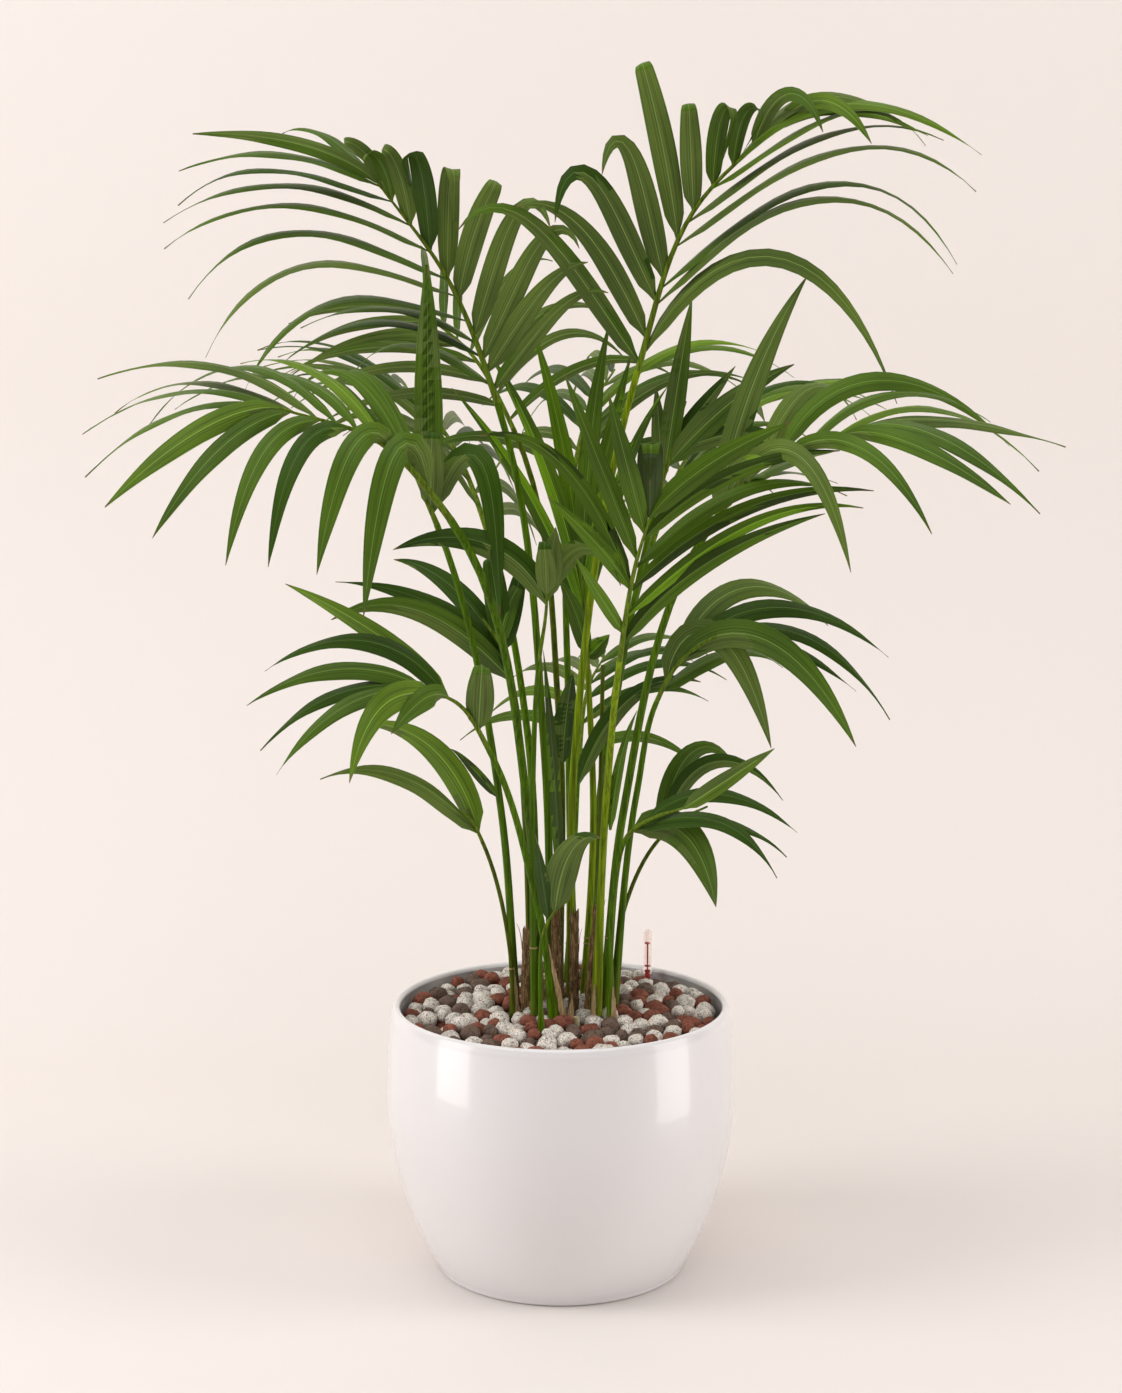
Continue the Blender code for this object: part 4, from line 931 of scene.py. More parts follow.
def spin_profile(bm, profile, steps, centre=(0.0, 0.0, 0.0)):
    """Turns an (x, z) profile that ends on the axis into a closed body."""
    before = set(bm.verts)
    verts = [bm.verts.new((x, 0.0, z)) for x, z in profile]
    edges = [bm.edges.new(pair) for pair in zip(verts, verts[1:])]
    bmesh.ops.spin(bm, geom=verts + edges, cent=(0.0, 0.0, 0.0), axis=UP, angle=2 * math.pi, steps=steps,
                   use_merge=True)
    made = [vert for vert in bm.verts if vert not in before]
    bmesh.ops.remove_doubles(bm, verts=made, dist=WELD)
    made = [vert for vert in bm.verts if vert not in before]
    faces = list({face for vert in made for face in vert.link_faces})
    bmesh.ops.recalc_face_normals(bm, faces=faces)
    bmesh.ops.translate(bm, verts=made, vec=centre)
    return made


def arc(centre, radius, start, end, steps):
    """(x, z) points on a part of a circle, with angles in degrees from +X."""
    angles = [math.radians(start + (end - start) * step / steps) for step in range(steps + 1)]
    return [(centre[0] + radius * math.cos(a), centre[1] + radius * math.sin(a)) for a in angles]


def between(pair, share):
    """The number at a share of the way from the first of a pair to the second."""
    return pair[0] + (pair[1] - pair[0]) * share


def tapered(start, end, count):
    """So many numbers, evenly from the first to the last."""
    return [between((start, end), i / (count - 1)) for i in range(count)]


def smooth_path(points, steps):
    """A smooth curve through points, as a list with so many steps in each span."""
    knots = [0.0]
    for first, second in zip(points, points[1:]):
        knots.append(knots[-1] + (second - first).length)
    slopes = []
    for i, point in enumerate(points):
        before = (point - points[i - 1]) / (knots[i] - knots[i - 1]) if i else None
        after = (points[i + 1] - point) / (knots[i + 1] - knots[i]) if i + 1 < len(points) else None
        if before is None or after is None:
            slopes.append(after or before)
            continue
        share = (knots[i] - knots[i - 1]) / (knots[i + 1] - knots[i - 1])
        slopes.append(before.lerp(after, share))
    path = [points[0].copy()]
    for i in range(len(points) - 1):
        width = knots[i + 1] - knots[i]
        for step in range(1, steps + 1):
            t = step / steps
            place = points[i] * (2 * t**3 - 3 * t**2 + 1) + points[i + 1] * (3 * t**2 - 2 * t**3)
            place += slopes[i] * (width * (t**3 - 2 * t**2 + t)) + slopes[i + 1] * (width * (t**3 - t**2))
            path.append(place)
    return path


def frond_paths(frond, steps):
    """(petiole, rib): two runs of one smooth curve, parted at the collar."""
    foot = Vector((*frond.foot, FILL_TOP + CLEARANCE))
    way = [foot] + [Vector(point) for point in (frond.knee, frond.collar, frond.bow, frond.tip)]
    path = smooth_path(way, steps)
    heading = (path[1] - path[0]).normalized()
    path[0] += UP * (frond.girth[0] * heading.xy.length)
    return path[: 2 * steps + 1], path[2 * steps :]


def petiole_radius(frond, along):
    """Radius at a share of the petiole's length: a wide sheath at the foot, then an even taper."""
    sheath, middle, collar = frond.girth
    if along < SHEATH_SHARE:
        share = along / SHEATH_SHARE
        return sheath + (middle - sheath) * share * share * (3 - 2 * share)
    return middle + (collar - middle) * (along - SHEATH_SHARE) / (1 - SHEATH_SHARE)


def add_limb(bm, path, radii, resolution, tint=0):
    """Adds a tapering round limb along a path to a bmesh, closed and welded at both ends."""
    curve = bpy.data.curves.new("limb", "CURVE")
    curve.dimensions = "3D"
    curve.bevel_depth = 1.0
    curve.bevel_resolution = resolution
    curve.use_fill_caps = True
    spline = curve.splines.new("POLY")
    spline.points.add(len(path) - 1)
    for point, place, radius in zip(spline.points, path, radii):
        point.co = (*place, 1.0)
        point.radius = radius
    item = bpy.data.objects.new("limb", curve)
    bpy.context.scene.collection.objects.link(item)
    graph = bpy.context.evaluated_depsgraph_get()
    mesh = bpy.data.meshes.new_from_object(item.evaluated_get(graph))
    bpy.data.objects.remove(item, do_unlink=True)
    bpy.data.curves.remove(curve)
    limb = bmesh.new()
    limb.from_mesh(mesh)
    bpy.data.meshes.remove(mesh)
    bmesh.ops.remove_doubles(limb, verts=limb.verts, dist=WELD)
    bmesh.ops.recalc_face_normals(limb, faces=limb.faces)
    set_tint(limb.faces, tint)
    add_part(bm, limb)


def blade_width(along):
    """Share of the full width at a share of a leaflet's length: widest near a third, drawn out to the tip."""
    phase = BLADE_ROOT_PHASE + (1.0 - BLADE_ROOT_PHASE) * along**BLADE_FULLNESS
    return math.sin(math.pi * phase) ** BLADE_FULLNESS


def along_rib(values, share):
    """A value at a share of the rib, on a line through two values or a parabola through three."""
    if len(values) == 2:
        return between(values, share)
    first, middle, last = values
    ends = first * (1 - share) * (1 - 2 * share) + last * share * (2 * share - 1)
    return ends + middle * 4 * share * (1 - share)


def leaflet_line(root, start, length, sag, bend):
    """Points along a leaflet's midrib: it leaves the rib along start and sags more towards its tip."""
    points = [root.copy()]
    for step in range(LEAFLET_STEPS):
        along = (step + 0.5) / LEAFLET_STEPS
        heading = (start - UP * (sag * along**bend)).normalized()
        points.append(points[-1] + heading * (length / LEAFLET_STEPS))
    return points


def rib_at(rib, share):
    """(point, tangent) at a share of the rib's points."""
    place = share * (len(rib) - 1)
    index = min(int(place), len(rib) - 2)
    step = rib[index + 1] - rib[index]
    return rib[index] + step * (place - index), step.normalized()


def leaflet_shape(leaves, rib, share, sign, draws, turn):
    """(line, across, width) of one leaflet of the rule; turn is extra lift in degrees."""
    side = leaves.right if sign > 0 else leaves.left
    point, tangent = rib_at(rib, share)
    face = Vector(leaves.face).normalized()
    outward = tangent.cross(face).normalized()
    normal = outward.cross(tangent).normalized()
    spread = math.radians(between(side.spread, share) + SPREAD_CHANCE * draws[0])
    lift = math.radians(between(side.lift, share) + LIFT_CHANCE * draws[1] + turn)
    length = along_rib(side.length, share) * (1.0 + LENGTH_CHANCE * draws[2])
    sag = along_rib(side.sag, share) * (1.0 + SAG_CHANCE * draws[3])
    sideways = outward * (sign * math.cos(lift)) + normal * math.sin(lift)
    start = tangent * math.cos(spread) + sideways * math.sin(spread)
    across = tangent - start * tangent.dot(start)
    tilt = sign * math.radians(BLADE_TILT + TILT_CHANCE * draws[4])
    across = Quaternion(start, tilt) @ (across * -sign).normalized()
    width = leaves.width * between((SHORT_BLADE_WIDTH, 1.0), min(1.0, length / max(side.length)))
    return leaflet_line(point, start, length, sag, side.bend), across, width


def ruled_leaflets(name):
    """Yields (share, line, across, width) for each leaflet of the rule, from collar to tip."""
    leaves = LEAVES[name]
    rng = random.Random(FRONDS[name].seed)
    _, rib = frond_paths(FRONDS[name], RULE_STEPS)
    last = 2 * leaves.pairs - 1
    for index in range(last + 1):
        share = between((FIRST_LEAFLET, LAST_LEAFLET), (index / last) ** LEAFLET_CROWDING)
        draws = [rng.uniform(-1.0, 1.0) for _ in range(5)]
        turn = TURNED[name].get(index, 0.0)
        if turn is not None:
            yield share, *leaflet_shape(leaves, rib, share, -1 if index % 2 else 1, draws, turn)


def belly_radius(height):
    """The planter's outer radius at a height."""
    reach, end = POT_TOP - POT_BELLY_HEIGHT, POT_LIP_RADIUS
    if height < POT_BELLY_HEIGHT:
        reach, end = POT_BELLY_HEIGHT, POT_BASE_RADIUS
    away = (height - POT_BELLY_HEIGHT) / reach
    return POT_BELLY_RADIUS - (POT_BELLY_RADIUS - end) * away**2


def planter_profile():
    """The planter's section, from the middle of its floor over the lip to the middle of its underside."""
    lip_radius = POT_WALL / 2
    lip_centre = (belly_radius(POT_TOP) - lip_radius, POT_TOP - lip_radius)
    foot_centre = (belly_radius(POT_FOOT_ROUND) - POT_FOOT_ROUND, POT_FOOT_ROUND)
    levels = tapered(POT_FOOT_ROUND + ABOVE_FOOT, POT_TOP - lip_radius - BELOW_LIP, POT_LEVELS + 1)
    corner_top = POT_FLOOR + FLOOR_CORNER
    corner = (belly_radius(corner_top) - POT_WALL - FLOOR_CORNER, corner_top)
    profile = [(0.0, POT_FLOOR)]
    profile += arc(corner, FLOOR_CORNER, -90, 0, CORNER_STEPS)
    profile += [(belly_radius(z) - POT_WALL, z) for z in levels if z > corner_top]
    profile += arc(lip_centre, lip_radius, 180, 0, LIP_STEPS)
    profile += [(belly_radius(z), z) for z in levels[::-1]]
    profile += arc(foot_centre, POT_FOOT_ROUND, 0, -90, FOOT_STEPS)
    profile.append((0.0, 0.0))
    return profile


def pushed_apart(rng, count, sizes, posts, passes):
    """Places discs in the round bed: they start at random and push one another and the posts' edges away."""
    places = []
    for _ in range(count):
        angle = rng.uniform(0.0, 2 * math.pi)
        away = PEBBLE_REACH * math.sqrt(rng.uniform(0.0, 1.0))
        places.append([away * math.cos(angle), away * math.sin(angle), rng.uniform(*sizes)])
    for _ in range(passes):
        for i, first in enumerate(places):
            for second in places[i + 1 :]:
                dx = second[0] - first[0]
                dy = second[1] - first[1]
                room = (first[2] + second[2]) * PEBBLE_CROWDING
                if abs(dx) > room or abs(dy) > room:
                    continue
                apart = math.hypot(dx, dy)
                if 0.0 < apart < room:
                    push = (room - apart) * 0.5 / apart
                    first[0] -= dx * push
                    first[1] -= dy * push
                    second[0] += dx * push
                    second[1] += dy * push
        for place in places:
            for x, y, radius in posts:
                apart = math.hypot(place[0] - x, place[1] - y)
                room = radius + place[2] * POST_ROOM
                if 0.0 < apart < room:
                    place[0] += (place[0] - x) * (room - apart) / apart * POST_PUSH
                    place[1] += (place[1] - y) * (room - apart) / apart * POST_PUSH
            away = math.hypot(place[0], place[1])
            most = PEBBLE_REACH - place[2]
            if away > most:
                place[0] *= most / away
                place[1] *= most / away
    return places


def heap_height(x, y):
    """Level of the granules' tops, higher towards the back and behind the clump."""
    away = math.hypot(x - HEAP_CENTRE[0], y - HEAP_CENTRE[1]) / HEAP_REACH
    return HEAP_TOP + HEAP_SLOPE * y + HEAP_RISE * math.exp(-away * away)


def add_pebble(bm, centre, radius, rng):
    """An uneven rounded granule: a ball pressed out of round and dented by noise."""
    ball = bmesh.ops.create_icosphere(bm, subdivisions=2, radius=1.0)["verts"]
    shift = Vector([rng.uniform(-PEBBLE_SHIFT, PEBBLE_SHIFT) for _ in range(3)])
    for vert in ball:
        dent = sum(share * noise.noise(vert.co * scale + shift) for scale, share in PEBBLE_DENTS)
        vert.co *= 1.0 + PEBBLE_DENT * dent
    stretch = Vector([rng.uniform(*sizes) for sizes in PEBBLE_STRETCH])
    bmesh.ops.scale(bm, verts=ball, vec=stretch * radius)
    tip = Matrix.Rotation(rng.uniform(-PEBBLE_TILT, PEBBLE_TILT), 3, "X")
    tip = tip @ Matrix.Rotation(rng.uniform(0.0, ABOUT_A_TURN), 3, "Z")
    bmesh.ops.rotate(bm, verts=ball, cent=(0.0, 0.0, 0.0), matrix=tip)
    bmesh.ops.translate(bm, verts=ball, vec=centre)


def frames_along(line, across, face=None):
    """(point, across, ridge) at each point of a line: across is carried along, or turned to show a face."""
    frames = []
    for i, point in enumerate(line):
        heading = (line[min(i + 1, len(line) - 1)] - line[max(i - 1, 0)]).normalized()
        across = (across - heading * across.dot(heading)).normalized()
        shown = heading.cross(Vector(face)) if face else Vector()
        if shown.length > LEAST_FACING:
            across = shown.normalized() * math.copysign(1.0, shown.dot(across))
        frames.append((point, across, across.cross(heading)))
    return frames


def new_blade(line, across, width, root_half, slender, tint, twist, fold, rng, face=None):
    """A leaf blade along a line: a grid bent to it, folded down from its midrib, then made thick."""
    blade = bmesh.new()
    blade.loops.layers.uv.verify()
    rows = blade.verts.layers.int.new("row")
    frames = frames_along(line, across, face)
    steps = len(frames) - 1
    made = bmesh.ops.create_grid(blade, x_segments=BLADE_ACROSS, y_segments=steps, size=0.5, calc_uvs=True)
    phase = rng.uniform(0.0, 2 * math.pi)
    for vert in made["verts"]:
        side = vert.co.x * 2
        along = vert.co.y + 0.5
        row = round(along * steps)
        point, sideways, ridge = frames[row]
        turn = twist * along**BLADE_TWIST_POWER
        flat = sideways * math.cos(turn) + ridge * math.sin(turn)
        rise = ridge * math.cos(turn) - sideways * math.sin(turn)
        neck = min(1.0, along / BLADE_NECK)
        full = blade_width(along) ** (1.0 + slender * along) * width / 2
        half = max(root_half + (full - root_half) * neck * neck * (3 - 2 * neck), BLADE_TIP_HALF)
        crease = math.radians(between((fold, fold * FOLD_LEFT), min(1.0, along * FOLD_RUN)))
        drop = half * (math.tan(crease) * abs(side) + BLADE_CUP * side * side)
        wave = BLADE_WAVE * abs(side) * math.sin(along * BLADE_WAVES + phase + side)
        wave *= min(1.0, along * BLADE_WAVE_RISE)
        vert.co = point + flat * (side * half) - rise * (drop + wave)
        vert[rows] = row
    set_tint(blade.faces, tint)
    bmesh.ops.solidify(blade, geom=list(blade.faces), thickness=BLADE_THICKNESS)
    bmesh.ops.recalc_face_normals(blade, faces=blade.faces)
    blade.normal_update()
    under = [item for item in blade.faces
             if item.normal.dot(frames[item.verts[0][rows]][2]) < UNDERSIDE_FACING]
    set_tint(under, UNDERSIDE)
    return blade


def hung_over(line, across, extra):
    """The line with more length at its end, turned back so that it lies behind the blade."""
    if extra <= 0.0:
        return line
    middle = len(line) // 2
    _, axis, _ = frames_along(line, across)[middle]
    upward = (line[middle] - line[0]).normalized()
    back = Quaternion(axis, -math.radians(CURL_DEGREES)) @ upward
    heading = (line[-1] - line[-2]).normalized()
    length = extra * sum((second - first).length for first, second in zip(line, line[1:]))
    longer = list(line)
    for step in range(1, CURL_STEPS + 1):
        longer.append(longer[-1] + heading.slerp(back, step / CURL_STEPS, back) * CURL_STEP_LENGTH)
    for _ in range(HANG_STEPS):
        longer.append(longer[-1] + back * (length / HANG_STEPS))
    return longer


def chance(rng, twist, folds):
    """Draws one blade's twist in radians and its share of the fold."""
    return math.radians(rng.uniform(-twist, twist)), rng.uniform(*folds)


def grow_shaped(bm, rows, rib, tints, rng, fold):
    """Adds the leaflets that have their own numbers, from their place on the rib or a point of their own."""
    for blade in [Shaped(*row) for row in rows]:
        root = rib_at(rib, blade.root)[0] if rib else Vector(blade.root)
        lean = math.radians(blade.lean)
        depth = math.radians(blade.depth)
        start = Vector((math.cos(depth) * math.sin(lean), -math.sin(depth), math.cos(depth) * math.cos(lean)))
        line = leaflet_line(root, start, blade.length, blade.sag, blade.bend)
        across = start.cross(Vector(blade.face)).normalized()
        line = hung_over(line, across, blade.hang)
        slender = BLADE_BROAD if blade.face == FRONT else BLADE_SLENDER
        shown = blade.face if blade.face == FRONT and not blade.hang else None
        tint = dealt_tint(rng, tints)
        twist, share = chance(rng, SHAPED_TWIST, SHAPED_FOLDS)
        add_part(bm, new_blade(
            line, across, blade.width, SHAPED_ROOT_HALF, slender, tint, twist, fold * share, rng, shown))


def grow_ruled(bm, name, rng, fold):
    """Adds the leaflets of a frond that follows the rule."""
    for share, line, across, width in ruled_leaflets(name):
        root_half = between((FRONDS[name].girth[2], RIB_TIP_RADIUS), share) * ROOT_WIDTH_SHARE
        tint = dealt_tint(rng, TINTS[name])
        twist, fold_share = chance(rng, RULED_TWIST, RULED_FOLDS)
        width *= LEAVES[name].finish
        add_part(bm, new_blade(
            line, across, width, root_half, BLADE_SLENDER, tint, twist, fold * fold_share, rng))


def dealt_tint(rng, shares):
    """Picks a tint's number by its share."""
    return rng.choices(range(len(shares)), weights=shares)[0]


def bed_profile():
    """The fill under the granules, from the planter's floor up to just below their tops. Its near black
    colour is painted shade in the gaps between them.
    """
    levels = tapered(POT_FLOOR + BED_LOW, BED_TOP - BED_HIGH, BED_STEPS + 1)
    walls = [(belly_radius(z) - POT_WALL - FILL_WALL_GAP + BED_SPREAD, z) for z in levels]
    profile = [(0.0, POT_FLOOR + BED_GAP), (walls[0][0] - BED_CORNER, POT_FLOOR + BED_GAP)]
    profile += walls
    profile += [(walls[-1][0] - BED_ROUND, BED_TOP), (walls[-1][0] * BED_FLAT, BED_TOP), (0.0, BED_TOP)]
    return profile


def petiole_at(frond, height):
    """(centre, radius) of a petiole at a height above the granulate."""
    petiole, _ = frond_paths(frond, FINE_STEPS)
    level = FILL_TOP + height
    i = next(index for index, point in enumerate(petiole) if point.z > level)
    share = (level - petiole[i - 1].z) / (petiole[i].z - petiole[i - 1].z)
    return petiole[i - 1].lerp(petiole[i], share), petiole_radius(frond, (i - 1 + share) / (len(petiole) - 1))


def add_margin(bm, frond, side, low, high):
    """The dry papery edge of a sheath: a thin ragged strip up one side of the petiole, which lifts off it."""
    rng = random.Random(frond.seed)
    heights = tapered(max(low, frond.girth[0] * MARGIN_START), high, MARGIN_STEPS + 1)
    line = [petiole_at(frond, height) for height in heights]
    strip = bmesh.new()
    made = bmesh.ops.create_grid(strip, x_segments=MARGIN_ACROSS, y_segments=MARGIN_STEPS, size=0.5)
    ragged = [(1.0 - MARGIN_TAPER * (step / MARGIN_STEPS) ** 2) * rng.uniform(*MARGIN_RAGS)
              for step in range(MARGIN_STEPS + 1)]
    for vert in made["verts"]:
        step = round((vert.co.y + 0.5) * MARGIN_STEPS)
        reach = vert.co.x + 0.5
        place, radius = line[step]
        angle = math.radians(side + MARGIN_WRAP * (0.5 - reach) * ragged[step])
        away = radius * MARGIN_CLEAR + MARGIN_GAP + MARGIN_FLARE * ragged[step] * (1.0 - reach) ** 2
        vert.co = place + Vector((math.cos(angle), math.sin(angle), 0.0)) * away
    bmesh.ops.solidify(strip, geom=list(strip.faces), thickness=MARGIN_THICKNESS)
    bmesh.ops.recalc_face_normals(strip, faces=strip.faces)
    add_part(bm, strip)


def add_ring(bm, frond, height):
    """The raised scar round a petiole."""
    centre, radius = petiole_at(frond, height)
    edge = radius + RING_RISE
    profile = [(0.0, -RING_HALF), (radius * RING_CORE, -RING_HALF), (edge, -RING_FLAT)]
    profile += [(x, -z) for x, z in reversed(profile)]
    spin_profile(bm, profile, RING_STEPS, centre)


def add_scale(bm, x, y, height, width, lean):
    """A dry pointed scale that stands in the granulate."""
    line = [Vector((x, y, FILL_TOP - SCALE_FOOT))]
    for step in range(1, SCALE_STEPS + 1):
        turn = math.radians(lean * (1.0 - SCALE_STRAIGHTENS * step / SCALE_STEPS))
        line.append(line[-1] + Vector((math.sin(turn), 0.0, math.cos(turn))) * (height / SCALE_STEPS))
    scale = new_blade(
        line, Vector((1.0, 0.0, 0.0)), width, width * SCALE_ROOT, BLADE_SLENDER, 0, SCALE_TWIST, SCALE_FOLD,
        random.Random(SCALE_SEED))
    set_tint(scale.faces, 0)
    add_part(bm, scale)


def add_stub(bm, fibres, x, y, radius, height, lean, rng):
    """A cut old petiole: ribbed and fibrous, with a ragged hollow top and a few loose fibres."""
    low_rim = height - min(STUB_HOLLOW[0], height * STUB_HOLLOW[1])
    is_rod = radius < THINNEST_STUB
    if not is_rod:
        radius *= STUB_STOUTNESS
    profile = [(0.0, -STUB_FOOT), (radius * STUB_FLARE, -STUB_FOOT)]
    profile += [(radius * (STUB_FLARE - STUB_TAPER * step / STUB_STEPS), height * step / STUB_STEPS)
                for step in range(STUB_STEPS + 1)]
    profile += [(radius * STUB_RIM[0], height), (radius * STUB_RIM[1], low_rim), (0.0, low_rim)]
    made = spin_profile(bm, profile, STUB_SIDES)
    phase = rng.uniform(0.0, ABOUT_A_TURN)
    for vert in made:
        angle = math.atan2(vert.co.y, vert.co.x)
        if vert.co.xy.length > radius * STUB_SKIN:
            around = (math.cos(angle) * ROUGH_AROUND, math.sin(angle) * ROUGH_AROUND)
            rough = noise.noise(Vector((*around, vert.co.z * ROUGH_ALONG + phase)))
            ribs = STUB_RIB * math.sin(angle * STUB_RIBS + phase)
            vert.co.xy *= 1.0 + (ribs + (ROD_ROUGH if is_rod else STUB_ROUGH) * rough)
        if vert.co.z > height - TOP_EDGE and not is_rod:
            vert.co.z += RAGGED_TOP * (noise.noise(Vector((angle * RAGS_AROUND, phase, 0.0))) - RAGS_LOW)
        vert.co.x += lean * max(0.0, vert.co.z) / height
    if is_rod:
        faces = {face for vert in made for face in vert.link_faces}
        set_tint([face for face in faces if face.calc_center_median().z < height - CUT_TOP], 1)
    bmesh.ops.translate(bm, verts=made, vec=(x, y, FILL_TOP))
    for _ in range(0 if is_rod else FIBRES_PER_STUB):
        angle = rng.uniform(0.0, 2 * math.pi)
        start = height * rng.uniform(*FIBRE_STARTS)
        end = min(height + FIBRE_REACH, start + rng.uniform(*FIBRE_LENGTHS))
        points = []
        for z, share in zip(tapered(start, end, len(FIBRE_RADII)), tapered(0.0, 1.0, len(FIBRE_RADII))):
            away = radius * (1.0 + FIBRE_BEND * share * share * rng.uniform(*FIBRE_BENDS))
            spot = (x + away * math.cos(angle) + lean * z / height, y + away * math.sin(angle), FILL_TOP + z)
            points.append(Vector(spot))
            angle += rng.uniform(-FIBRE_TURN, FIBRE_TURN)
        add_limb(fibres, points, FIBRE_RADII, 0)


def add_area_light(name, place, target, size, power, colour):
    """Adds a rectangular light at a place, turned to a target."""
    lamp = bpy.data.lights.new(name, "AREA")
    lamp.shape = "RECTANGLE"
    lamp.size, lamp.size_y = size
    lamp.energy = power
    lamp.color = colour
    item = bpy.data.objects.new(name, lamp)
    item.location = place
    item.rotation_euler = (Vector(target) - Vector(place)).to_track_quat("-Z", "Y").to_euler()
    bpy.context.scene.collection.objects.link(item)
    return item


def colour_property(name, description, default):
    """A colour in linear light."""
    return FloatVectorProperty(
        name=name, description=description, subtype="COLOR", size=3, min=0.0, max=1.0, default=default)


def length_property(name, description, default):
    """A length in metres."""
    return FloatProperty(name=name, description=description, unit="LENGTH", min=0.0, default=default)


def power_property(name, description, default):
    """A lamp's power in watts."""
    return FloatProperty(name=name, description=description, unit="POWER", min=0.0, default=default)


class PlanterSettings(bpy.types.PropertyGroup):
    glaze: colour_property("Glaze", "Colour of the white glaze", (0.812, 0.792, 0.804))
    steps: IntProperty(name="Steps", description="Faces round the planter", min=24, default=144)


class GranulateSettings(bpy.types.PropertyGroup):
    top_count: IntProperty(name="Top granules", description="Granules in the top layer", min=1, default=236)
    low_count: IntProperty(name="Lower granules", description="Granules seen in the gaps", min=1, default=170)
    smallest: length_property("Smallest radius", "Radius of the smallest granule", 0.0076)
    largest: length_property("Largest radius", "Radius of the largest granule", 0.0122)
    grey: colour_property("Light grey", "Colour of the light grey granules", (0.76, 0.70, 0.63))
    red: colour_property("Red brown", "Colour of the red-brown granules", (0.26, 0.092, 0.060))
    dark: colour_property("Dark grey", "Colour of the darker granules", (0.165, 0.112, 0.085))


class IndicatorSettings(bpy.types.PropertyGroup):
    stem: colour_property("Red parts", "Colour of the float stem and its rings", (0.62, 0.03, 0.03))
    wall: length_property("Wall", "Thickness of the clear tube's wall", 0.0009)


class StemSettings(bpy.types.PropertyGroup):
    green: colour_property("Green", "Colour of most petioles", (0.065, 0.136, 0.001))
    yellow: colour_property("Yellow green", "Colour of the youngest petioles", (0.172, 0.255, 0.004))
    olive: colour_property("Olive", "Colour of the thin and the older petioles", (0.070, 0.100, 0.003))
    rachis: colour_property("Rib", "Colour of the leaves' ribs", (0.110, 0.170, 0.010))
    papery: colour_property("Sheath margin", "Colour of the sheaths' dry margins", (0.420, 0.290, 0.140))
    fibre: colour_property("Old sheath", "Colour of the cut stubs", (0.150, 0.090, 0.036))


class LeafSettings(bpy.types.PropertyGroup):
    deep: colour_property("Deep green", "Colour of the darkest leaflets", (0.036, 0.084, 0.003))
    middle: colour_property("Middle green", "Colour of most leaflets", (0.078, 0.150, 0.010))
    olive: colour_property("Olive green", "Colour of the greyer leaflets", (0.108, 0.168, 0.026))
    light: colour_property("Light green", "Colour of the lightest leaflets", (0.125, 0.222, 0.012))
    underside: colour_property("Underside", "Colour of the undersides", (0.108, 0.168, 0.028))
    young: colour_property("Young leaf", "Colour of the two youngest fronds", (0.058, 0.118, 0.001))
    fold: FloatProperty(name="Fold", description="Fold at a leaflet's foot in degrees", default=24.0)


class StageSettings(bpy.types.PropertyGroup):
    backdrop: colour_property("Backdrop", "Colour of the seamless backdrop", (0.80, 0.750, 0.722))
    daylight: FloatProperty(name="Daylight", description="Strength of the light all round", default=0.455)
    key: power_property("Key light", "Power of the large light on the left", 55.0)
    fill: power_property("Fill light", "Power of the light on the right", 40.0)
    top: power_property("Top light", "Power of the light overhead", 38.0)


class KENTIA_OT_planter(bpy.types.Operator):
    """Make the round glazed planter"""

    bl_idname = "kentia.planter"
    bl_label = "Planter"

    def execute(self, context):
        settings = context.scene.kentia_planter
        bm = bmesh.new()
        spin_profile(bm, planter_profile(), settings.steps)
        add_piece("planter", bm, SHARP_HARD, [glaze_material(tuple(settings.glaze))], "glaze", ["pot"])
        return {"FINISHED"}


class KENTIA_OT_granulate(bpy.types.Operator):
    """Fill the planter with clay granulate, its granules joined by colour"""

    bl_idname = "kentia.granulate"
    bl_label = "Granulate"

    def execute(self, context):
        settings = context.scene.kentia_granulate
        rng = random.Random(GRANULE_SEED)
        posts = [(frond.foot[0], frond.foot[1], frond.girth[0]) for frond in FRONDS.values()]
        posts += [(x, y, radius) for x, y, radius, _, _ in STUBS.values()]
        posts += [(*INDICATOR_PLACE, INDICATOR_RADIUS), HOLLOW]
        sizes = (settings.smallest, settings.largest)
        top = pushed_apart(rng, settings.top_count, sizes, posts, TOP_PASSES)
        low = pushed_apart(rng, settings.low_count, sizes, [], LOW_PASSES)
        heaps = {colour: bmesh.new() for colour in GRANULES}
        for places, layer in ((top, TOP_LAYER), (low, LOW_LAYER)):
            for x, y, radius in places:
                heap = heaps[rng.choices(list(heaps), weights=layer.weights)[0]]
                height = heap_height(x, y) - radius * layer.sunk - layer.depth + rng.uniform(*layer.chance)
                add_pebble(heap, (x, y, height), radius, rng)
        bed = bmesh.new()
        spin_profile(bed, bed_profile(), BED_SIDES)
        # The near black bed is painted shade in the gaps between the granules.
        under = plain_relief_material("granulate_bed", BED_SHADE_COLOUR, 0.95, scale=300.0, depth=0.002)
        add_piece("granulate_bed", bed, SHARP_HARD, [under], "granulate", ["granulate"])
        for colour, (speck_and_pit_shade, roughness) in GRANULES.items():
            clay = pebble_material("granule_" + colour, tuple(getattr(settings, colour)), speck_and_pit_shade, roughness)
            add_piece("granules_" + colour, heaps[colour], SHARP_PEBBLE, [clay], "granulate")
        return {"FINISHED"}


